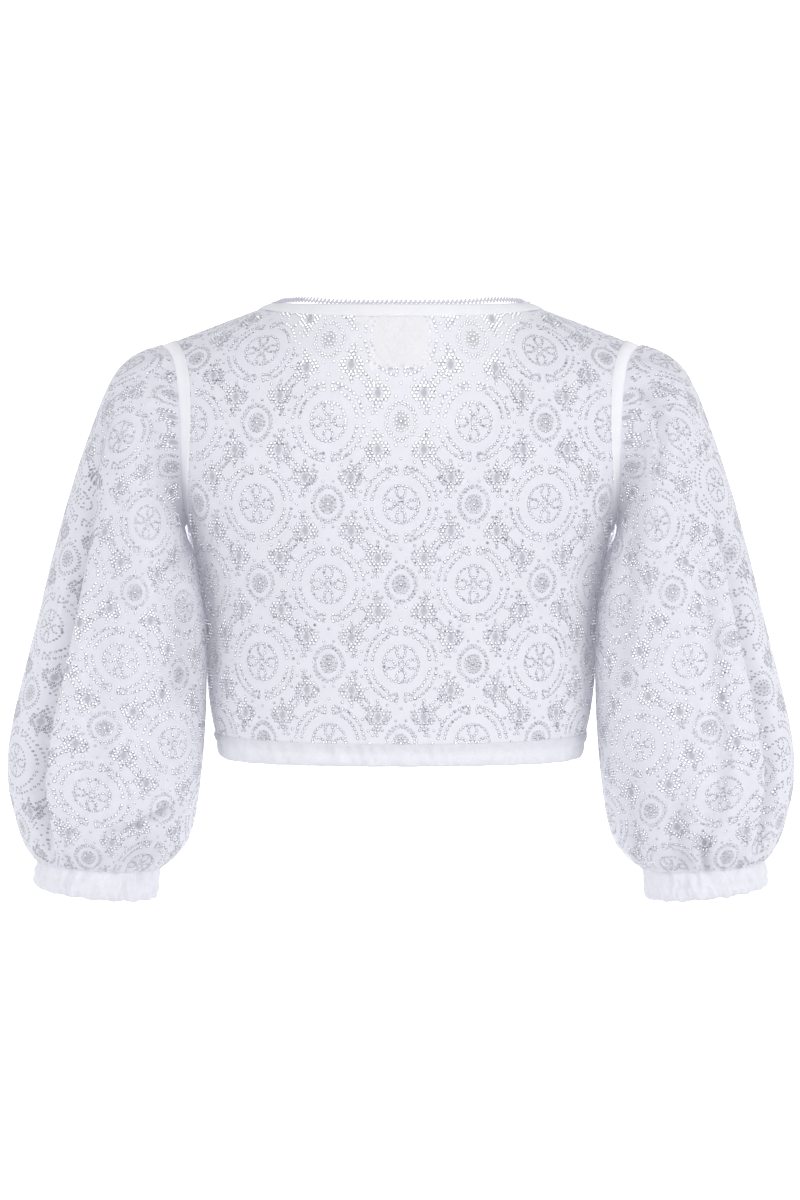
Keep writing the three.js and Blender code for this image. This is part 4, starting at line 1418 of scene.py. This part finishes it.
class SleeveLace:
    """One balloon sleeve cut from a single length of lace, with its seam under the arm."""

    def __init__(self, side: Side) -> None:
        """Measures the sleeve.

        Args:
            side: which sleeve.
        """
        self.side = side
        self.form = SleeveForm(side)
        self.grain = GRAINS[side]

    def cut(self) -> np.ndarray:
        """The outline on the flat cloth."""
        half = SLEEVE_FLAT_WIDTH / 2
        across = np.linspace(-half, half, 97)
        top = self.form.top(across) - 0.1
        lower = [(float(u), 0.4) for u in across]
        upper = [(float(u), float(v)) for u, v in zip(across[::-1], top[::-1])]
        return np.array(lower + upper)

    def to_cut(self, chart: np.ndarray) -> Tuple[np.ndarray, np.ndarray]:
        """Places of the repeat on the sleeve's cut, and which of them a tuck hides."""
        s, t = chart[:, 0], chart[:, 1]
        grain = self.grain
        along = grain.first + t - grain.slant * np.where(s < 0, s, 0.6 * s)
        shift = np.zeros_like(s)
        hidden = np.zeros(len(s), bool)
        for tuck in grain.tucks:
            width = tuck.width(along)
            edge = tuck.aside - shift
            hidden |= (s < edge) & (s > edge - width)
            shift = shift + np.where(s < edge, width, 0.0)
        across = grain.start + grain.lean * along + s + shift
        return np.stack([across, along], axis=1), hidden

    def weave(self) -> Weave:
        """The lace on the flat cloth."""
        outline = self.cut()
        holes, shades = CHART.laid(np.array([-420.0, -140.0]), np.array([260.0, 560.0]))
        places, hidden = self.to_cut(holes[:, :2])
        holes = np.concatenate([places, holes[:, 2:]], axis=1)[~hidden]
        middles, lost = self.to_cut(np.array([(s.x, s.y) for s in shades]))
        kept = [
            Shade(x, y, s.half_x, s.half_y, s.tone)
            for (x, y), s, gone in zip(middles, shades, lost)
            if not gone
        ]
        top = self.form.top(holes[:, 0])
        underarm = (np.abs(holes[:, 0]) > 165) & (holes[:, 1] > top - 16)
        seed = SEED + 5 + self.side.value
        return Weaver(outline, holes[~underarm], kept, seed, self.in_strip, self.on_back).woven()

    @staticmethod
    def on_back(across: float, along: float) -> bool:
        """Whether a place lies on the back half of the sleeve or just round its outer edge."""
        return across > -20

    def in_strip(self, across: float, along: float) -> bool:
        """Whether a hole lies in the strip beyond the long fold, where its rim is painted grey as the
        sleeve's own shade.
        """
        grain = self.grain
        fold = grain.start + grain.lean * along + grain.tucks[-1].aside
        return -60 < across < fold and along < STRIP_TOP

    def build(self, finishes: Finishes) -> bpy.types.Object:
        """The sleeve's mesh."""
        made = self.weave()
        angle, row = self.form.from_flat(made.flat)
        points = self.form.point(angle, row)
        faces = made.faces if self.side is Side.LEFT else made.faces[:, ::-1]
        obj = mesh_object(f"lace_sleeve_{self.side.word}", points, faces, made.flat)
        # Painted shade in the creases' hollows, greyer where the fold sinks further.
        hollow = np.clip(-self.form.fold(angle, row) / 8.0, 0, 1)
        add_values(obj, "tone", np.clip(made.tone + CREASE_PAINTED_SHADE * hollow, 0, 1))
        finishes.give(obj, LACE)
        log.info("%s: %d triangles", obj.name, len(faces))
        return obj


def face_out(obj: bpy.types.Object, middle: Sequence[float]) -> None:
    """Turns a mesh's faces away from a middle line through its hollow, if most face it."""
    mesh = obj.data
    centre = np.array(middle) * MM
    places = np.array([p.center for p in mesh.polygons])
    normals = np.array([p.normal for p in mesh.polygons])
    if np.einsum("ij,ij->i", normals, places - centre).sum() < 0:
        mesh.flip_normals()


@dataclass(frozen=True)
class ProfilePoint:
    """A point of a band's section: how far along the section, and how far out from the cloth's form."""

    along: float
    out: float


def profile_of(alongs: Sequence[float], outs: Sequence[float]) -> Tuple[ProfilePoint, ...]:
    """A section from its two columns."""
    return tuple(ProfilePoint(along, out) for along, out in zip(alongs, outs))


# Millimetres down from the neck edge, over the top and back down inside
BINDING_PROFILE = profile_of(
    alongs=(11.2, 10.6, 8.0, 5.0, 2.0, 0.4, 0.0, 0.4, 2.0, 6.0, 10.0),
    outs=(0.3, 1.0, 1.3, 1.5, 1.4, 1.0, 0.2, -0.6, -0.9, -0.9, -0.8),
)
# Share of the band's width, from the armhole outwards
ARMHOLE_PROFILE = profile_of(
    alongs=(-0.10, -0.04, 0.04, 0.35, 0.65, 0.86, 0.92),
    outs=(-1.2, 0.5, 0.95, 1.15, 1.15, 0.95, 0.2),
)
# Millimetres above the hem edge, with the elastic's stitch line pressed in at 10.6
HEM_PROFILE = profile_of(
    alongs=(0.6, 0.0, 0.4, 2.0, 4.5, 7.0, 9.2, 10.6, 12.0, 14.0, 16.0, 17.6, 18.4, 18.6),
    outs=(-0.8, 0.2, 1.2, 1.9, 2.1, 2.0, 1.5, 0.7, 1.3, 1.5, 1.2, 0.8, 0.4, -0.2),
)
# Share of the cuff's height, from the sleeve down
CUFF_PROFILE = profile_of(
    alongs=(-0.02, 0.02, 0.08, 0.2, 0.34, 0.46, 0.52, 0.58, 0.72, 0.84, 0.92, 0.97, 1.0, 0.98),
    outs=(-1.4, -0.7, 0.0, 0.9, 1.6, 1.6, 1.3, 1.6, 1.7, 1.2, 0.4, -0.6, -1.8, -2.6),
)


@dataclass(frozen=True)
class Loop:
    """One loop of the picot edging, as an egg: half sizes, height above the edge, reach outwards and lean."""

    long: float
    wide: float
    thick: float
    height: float
    out: float
    lean: float


BEAD = Loop(long=2.75, wide=1.25, thick=0.95, height=2.0, out=0.2, lean=0.62)
KNOT = Loop(long=1.5, wide=0.7, thick=0.7, height=0.9, out=0.75, lean=-0.7)


class Trim:
    """The bands, casings, cuffs and edging."""

    def __init__(self, finishes: Finishes) -> None:
        """Keeps the finishes at hand."""
        self.finishes = finishes

    def neck_binding(self) -> bpy.types.Object:
        """The plain band round the neck, rolled over its top edge."""
        count = 240
        turns = np.arange(count) / count
        rows, flats = [], []
        for k, spot in enumerate(BINDING_PROFILE):
            points = np.array([BODY.neck_point(float(t), spot.along) for t in turns])
            normals = np.array([BODY.outward(point, 2.2) for point in points])
            wave = 0.12 * np.sin(TURN * 47 * turns + k) * (1 if spot.out > 1 else 0)
            rows.append(points + normals * (spot.out + wave)[:, None])
            flats.append(np.stack([turns * 700.0, np.full(count, k * 2.2)], axis=1))
        obj = band_object("neck_band", rows, flats)
        self.finishes.give(obj, TAPE)
        return obj

    def picot(self) -> bpy.types.Object:
        """The picot edging on the neck band: long beads side by side, with small knots at their feet."""
        ring = np.linspace(0, 1, 1201)
        edge = np.array([BODY.neck_point(float(t), 0.3) for t in ring])
        length = np.concatenate([[0.0], np.cumsum(np.linalg.norm(np.diff(edge, axis=0), axis=1))])
        count = 2 * int(round(length[-1] / PICOT_PITCH))
        places = np.interp((np.arange(count) + 0.5) * length[-1] / count, length, ring)
        points, faces = [], []
        for i, turn in enumerate(places):
            egg, quads = self.egg(BEAD if i % 2 == 0 else KNOT, float(turn))
            faces += [tuple(len(points) + v for v in quad) for quad in quads]
            points += egg
        obj = mesh_object("picot_edging", np.array(points), faces)
        bpy.ops.object.select_all(action="DESELECT")
        bpy.context.view_layer.objects.active = obj
        obj.select_set(True)
        bpy.ops.object.mode_set(mode="EDIT")
        bpy.ops.mesh.select_all(action="SELECT")
        bpy.ops.mesh.normals_make_consistent(inside=False)
        bpy.ops.object.mode_set(mode="OBJECT")
        self.finishes.give(obj, THREAD)
        return obj

    def egg(self, loop: Loop, turn: float) -> Tuple[List[np.ndarray], List[Tuple[int, int, int, int]]]:
        """One loop of the edging, smaller at the neck's ends and standing higher beside the back's middle.

        Args:
            loop: bead or knot.
            turn: its place round the neck.
        Returns:
            Points and quads.
        """
        around, across = 8, 6
        foot, ahead, up, out = self.neck_axes(turn)
        handed = 1 if BODY.neck_point(0.26, 0.4)[0] > BODY.neck_point(0.25, 0.4)[0] else -1
        lean = handed * loop.lean
        axis = up * math.cos(lean) + ahead * math.sin(lean)
        aside = np.cross(axis, out)
        size = 1 - 0.5 * float(smooth_step(98, 105, np.float64(abs(foot[0]))))
        swell = math.exp(-(((abs(foot[0]) - 80) / 22) ** 2)) if foot[1] < 0 else 0.0
        long = loop.long * size * (1 + 0.22 * swell)
        middle = foot + up * (loop.height * size + 2.0 * swell) + out * loop.out
        points = []
        for b in HALF_TURN * np.arange(around + 1) / around:
            for a in TURN * np.arange(across) / across:
                spoke = aside * (loop.wide * size * math.cos(a)) + out * (loop.thick * size * math.sin(a))
                points.append(middle - axis * (long * math.cos(b)) + spoke * max(math.sin(b), 0.02))
        return points, grid_faces(around + 1, across, True)

    @staticmethod
    def neck_axes(turn: float) -> Tuple[np.ndarray, np.ndarray, np.ndarray, np.ndarray]:
        """A place on the neck band's edge, with its directions along the edge, up off the band and out."""
        foot = np.array(BODY.neck_point(turn, 0.3))
        ahead = np.array(BODY.neck_point(turn + 0.002, 0.3)) - foot
        ahead /= np.linalg.norm(ahead)
        up = foot - np.array(BODY.neck_point(turn, 5.0))
        up = up / np.linalg.norm(up) + np.array([0.0, 0.0, 1.6])
        up -= ahead * up.dot(ahead)
        up /= np.linalg.norm(up)
        out = np.cross(ahead, up)
        if out.dot(foot - np.array([0.0, 0.0, foot[2]])) < 0:
            out = -out
        return foot, ahead, up, out

    def armhole_band(self, side: Side) -> bpy.types.Object:
        """The plain band laid over an armhole seam."""
        count = 120
        turns = np.arange(count) / count * TURN
        rows, flats = [], []
        for k, spot in enumerate(ARMHOLE_PROFILE):
            points = np.array([BODY.armhole_point(side, float(a), spot.along) for a in turns])
            normals = np.array([BODY.outward(point, 1.6) for point in points])
            rows.append(points + normals * spot.out)
            flats.append(np.stack([turns * 60.0, np.full(count, k * 2.0)], axis=1))
        obj = band_object(f"armhole_tape_{side.word}", rows, flats)
        face_out(obj, (0, 0, -110))
        self.finishes.give(obj, TAPE)
        return obj

    def hem(self) -> bpy.types.Object:
        """The gathered casing round the hem, with its elastic's stitch line pressed in."""
        half = 300
        rows, flats = [], []
        for spot in HEM_PROFILE:
            ring, flat = [], []
            for face, start in ((Face.BACK, -QUARTER_TURN), (Face.FRONT, QUARTER_TURN)):
                angles = np.linspace(start, -start, half, endpoint=False)
                run = np.full(half, spot.along)
                points = BODY.point(angles, run, face)
                out = level_out(points, 1.6)
                turn = np.arange(half) / half + (0 if face is Face.BACK else 1)
                pucker = sum(ripple.wave(turn, spot.along) for ripple in HEM_PUCKERS)
                size = 0.5 if 1 < spot.along < 17.5 else 0.3
                points[:, 2] -= 2.6 * np.abs(np.sin(angles)) ** 4 * max(0.0, 1 - spot.along / 14)
                ring.append(points + out * (spot.out + size * pucker)[:, None])
                flat.append(np.stack([turn * 420.0, run], axis=1))
            rows.append(np.concatenate(ring))
            flats.append(np.concatenate(flat))
        obj = band_object("hem_band", rows, flats)
        face_out(obj, (0, 0, -365))
        self.finishes.give(obj, ELASTIC)
        return obj

    def cuff(self, side: Side, form: SleeveForm) -> bpy.types.Object:
        """The gathered cuff casing that the sleeve puffs out over."""
        count = 420
        shares = np.arange(count) / count
        turns = shares * TURN
        phase = PHASES[side]
        last = np.full(count, LAST_ROW)
        top = form.smooth(turns, last)
        out = top - form.oval(turns, last)[1]
        out /= np.linalg.norm(out, axis=1, keepdims=True)
        fold = form.fold(turns, last)
        inner = (1 - np.cos(turns)) / 2
        droop = 3.6 * inner + 0.6 * np.sin(16 * turns + phase)
        rows, flats = [], []
        for spot in CUFF_PROFILE:
            down = spot.along
            pucker = sum(ripple.wave(shares, down, phase) for ripple in CUFF_PUCKERS)
            reach = 0.7 * fold * (1 - 0.75 * down) + spot.out + pucker * min(1.0, 0.3 + 3 * down)
            points = top + out * reach[:, None]
            points[:, 0] += side.value * (down + 3.2 * inner * min(1.0, 2.5 * max(down, 0.0)))
            points[:, 2] -= 0.3 + (CUFF_HEIGHT + droop) * down
            rows.append(points)
            flats.append(np.stack([turns * 44.0, np.full(count, CUFF_HEIGHT * down)], axis=1))
        obj = band_object(f"cuff_band_{side.word}", rows, flats)
        face_out(obj, (side.value * 252, 0, -478))
        self.finishes.give(obj, ELASTIC)
        return obj

    def label(self, name: str, left: float, right: float, top: float, bottom: float) -> bpy.types.Object:
        """A blank label against the inside of the back lace."""
        count = 14
        points, flats = [], []
        for z in np.linspace(top, bottom, count):
            for x in np.linspace(left, right, count):
                angle, run = (np.array([value]) for value in BODY.spot(float(x), float(z), Face.BACK))
                inward = -BODY.normal(angle, run, Face.BACK)[0]
                points.append(BODY.point(angle, run, Face.BACK)[0] + inward * 0.65)
                flats.append((x, z))
        obj = mesh_object(name, np.array(points), grid_faces(count, count, False), np.array(flats))
        self.finishes.give(obj, LABEL)
        solid = obj.modifiers.new("cloth", "SOLIDIFY")
        solid.thickness = 0.5 * MM
        solid.offset = 0.0
        return obj


def cut_size(outline: np.ndarray) -> Tuple[Tuple[float, float], float]:
    """Width and length of a cut piece in metres, and its area in square metres."""
    width, length = np.ptp(outline, axis=0) * MM
    x, y = outline[:, 0] * MM, outline[:, 1] * MM
    area = abs(float(np.dot(x, np.roll(y, -1)) - np.dot(y, np.roll(x, -1)))) / 2
    log.info("cut %.3f by %.3f m, %.4f square metres", width, length, area)
    return (round(float(width), 3), round(float(length), 3)), round(area, 4)


class Blouse:
    """The whole blouse, with each piece tied to its solid."""

    def __init__(self) -> None:
        """Builds the finishes."""
        self.finishes = Finishes()
        self.trim = Trim(self.finishes)

    def tie(self, obj: bpy.types.Object, node: str) -> bpy.types.Object:
        """Rides the body and stands for its solid, which it hides."""
        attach(obj, "root")
        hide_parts(node)
        return obj

    def build(self) -> None:
        """Makes and ties every piece."""
        cuts = {face: PanelLace(face) for face in Face}
        panels = {face: self.tie(cuts[face].build(self.finishes), f"{face.value}_panel") for face in Face}
        hem = self.tie(self.trim.hem(), "hem_casing")
        neck = self.tie(self.trim.neck_binding(), "neck_binding")
        picot = self.tie(self.trim.picot(), "neck_picot_edge")
        label = self.tie(self.trim.label("label_blank", *NECK_LABEL), "neck_label")
        tab = self.tie(self.trim.label("tab_blank", *SIZE_TAB), "size_tab")
        for side in Side:
            lace = SleeveLace(side)
            sleeve = self.tie(lace.build(self.finishes), f"sleeve_{side.word}")
            cuff = self.tie(self.trim.cuff(side, lace.form), f"cuff_{side.word}")
            self.tie(self.trim.armhole_band(side), f"armhole_band_{side.word}")
            size, area = cut_size(lace.cut())
        size, area = cut_size(cuts[Face.BACK].outline)
        size, area = cut_size(cuts[Face.FRONT].outline)


@dataclass(frozen=True)
class Lamp:
    """A soft light outside the blouse: its place, its side and its power, in metres and watts."""

    name: str
    place: Tuple[float, float, float]
    size: float
    power: float


@dataclass(frozen=True)
class InnerLamp:
    """A lit panel inside the blouse, so that the holes of the lace read white: middle, size and power."""

    x: float
    z: float
    width: float
    height: float
    power: float


LAMPS = (
    Lamp("key", (0.9, -1.9, 1.3), 1.4, 12.0),
    Lamp("left", (-1.9, -1.2, 0.2), 1.2, 15.0),
    Lamp("right", (1.9, -1.2, 0.2), 1.2, 16.5),
    Lamp("front", (-0.3, -2.5, 0.1), 2.2, 8.5),
)
INNER_LAMPS = (
    InnerLamp(0.0, -0.21, 0.28, 0.3, 0.6),
    InnerLamp(0.198, -0.155, 0.05, 0.11, 0.1),
    InnerLamp(-0.198, -0.155, 0.05, 0.11, 0.1),
    InnerLamp(0.24, -0.335, 0.09, 0.2, 0.28),
    InnerLamp(-0.24, -0.335, 0.09, 0.2, 0.28),
)
LIT_POINT = (0.0, 0.0, -0.25)
WHITE = (1.0, 1.0, 1.0, 1.0)
SWEEP_STEPS = ((0.12, -0.8), (3.0, -0.8), (3.6, -0.7), (4.0, -0.3), (4.1, 0.4), (4.1, 4.0))
SWEEP_HALF_WIDTH = 4.5
FLOOR_Z = -0.82
CAMERA_TARGET = (0.0, 0.0, -0.249)
CAMERA_DISTANCE = 2.6
CAMERA_TILT = math.radians(4.0)


class Studio:
    """A plain white floor, soft even light and the camera."""

    def build(self) -> None:
        """Sets the studio up."""
        scene = bpy.context.scene
        scene.view_settings.view_transform = "Standard"
        world = bpy.data.worlds.new("studio")
        scene.world = world
        world.use_nodes = True
        background = world.node_tree.nodes["Background"]
        background.inputs["Color"].default_value = WHITE
        background.inputs["Strength"].default_value = 0.6
        self.floor()
        self.backdrop()
        for lamp in LAMPS:
            self.area(lamp.name, lamp.place, LIT_POINT, lamp.size, lamp.power)
        for inner in INNER_LAMPS:
            place, ahead = (inner.x, -0.02, inner.z), (inner.x, 1.0, inner.z)
            light = self.area("inner", place, ahead, inner.width, inner.power)
            light.data.shape = "RECTANGLE"
            light.data.size_y = inner.height
            light.visible_camera = False
        self.camera()

    def plain_white(self, name: str, glow: float) -> bpy.types.Material:
        """A plain white finish that may give light of its own."""
        white = bpy.data.materials.new(name)
        white.use_nodes = True
        shader = white.node_tree.nodes["Principled BSDF"]
        shader.inputs["Base Color"].default_value = linear(PLAIN_WHITE)
        shader.inputs["Roughness"].default_value = 0.9
        shader.inputs["Emission Color"].default_value = WHITE
        shader.inputs["Emission Strength"].default_value = glow
        return white

    def floor(self) -> bpy.types.Object:
        """The pale floor well below the blouse."""
        bpy.ops.mesh.primitive_plane_add(size=9.0, location=(0, 0, 0))
        floor = bpy.context.object
        floor.name = "studio_floor"
        for vertex in floor.data.vertices:
            vertex.co.z = FLOOR_Z
        floor.data.materials.append(self.plain_white("floor_white", 0.0))
        return floor

    def backdrop(self) -> bpy.types.Object:
        """A lit white sweep behind the blouse, from the floor up."""
        points = [(x, y, z) for y, z in SWEEP_STEPS for x in (-SWEEP_HALF_WIDTH, SWEEP_HALF_WIDTH)]
        sweep = mesh_object("studio_sweep", np.array(points) / MM, grid_faces(len(SWEEP_STEPS), 2, False))
        sweep.data.materials.append(self.plain_white("sweep_white", 1.0))
        return sweep

    def area(self, name: str, place: Tuple, target: Tuple, size: float, power: float) -> bpy.types.Object:
        """A square soft light that faces a target."""
        bpy.ops.object.light_add(type="AREA", location=place)
        lamp = bpy.context.object
        lamp.name = name
        lamp.data.shape = "SQUARE"
        lamp.data.size = size
        lamp.data.energy = power
        direction = Vector(target) - Vector(place)
        lamp.rotation_euler = direction.to_track_quat("-Z", "Y").to_euler()
        return lamp

    def camera(self) -> None:
        """The camera behind the wearer, a little above the middle of the back."""
        back = Vector((0.0, -math.cos(CAMERA_TILT), math.sin(CAMERA_TILT)))
        bpy.ops.object.camera_add(location=Vector(CAMERA_TARGET) + back * CAMERA_DISTANCE)
        camera = bpy.context.object
        camera.rotation_mode = "QUATERNION"
        camera.rotation_quaternion = (-back).to_track_quat("-Z", "Y")
        camera.data.sensor_width = 36.0
        camera.data.lens = 93.975
        camera.data.shift_x = -0.0008
        camera.data.shift_y = 0.0025
        camera.data.clip_start = 0.05
        camera.data.clip_end = 50.0
        bpy.context.scene.camera = camera


def main() -> None:
    """Builds the blouse and the studio."""
    logging.basicConfig(level=logging.INFO, format="%(message)s")
    Blouse().build()
    Studio().build()


if __name__ == "__main__":
    main()
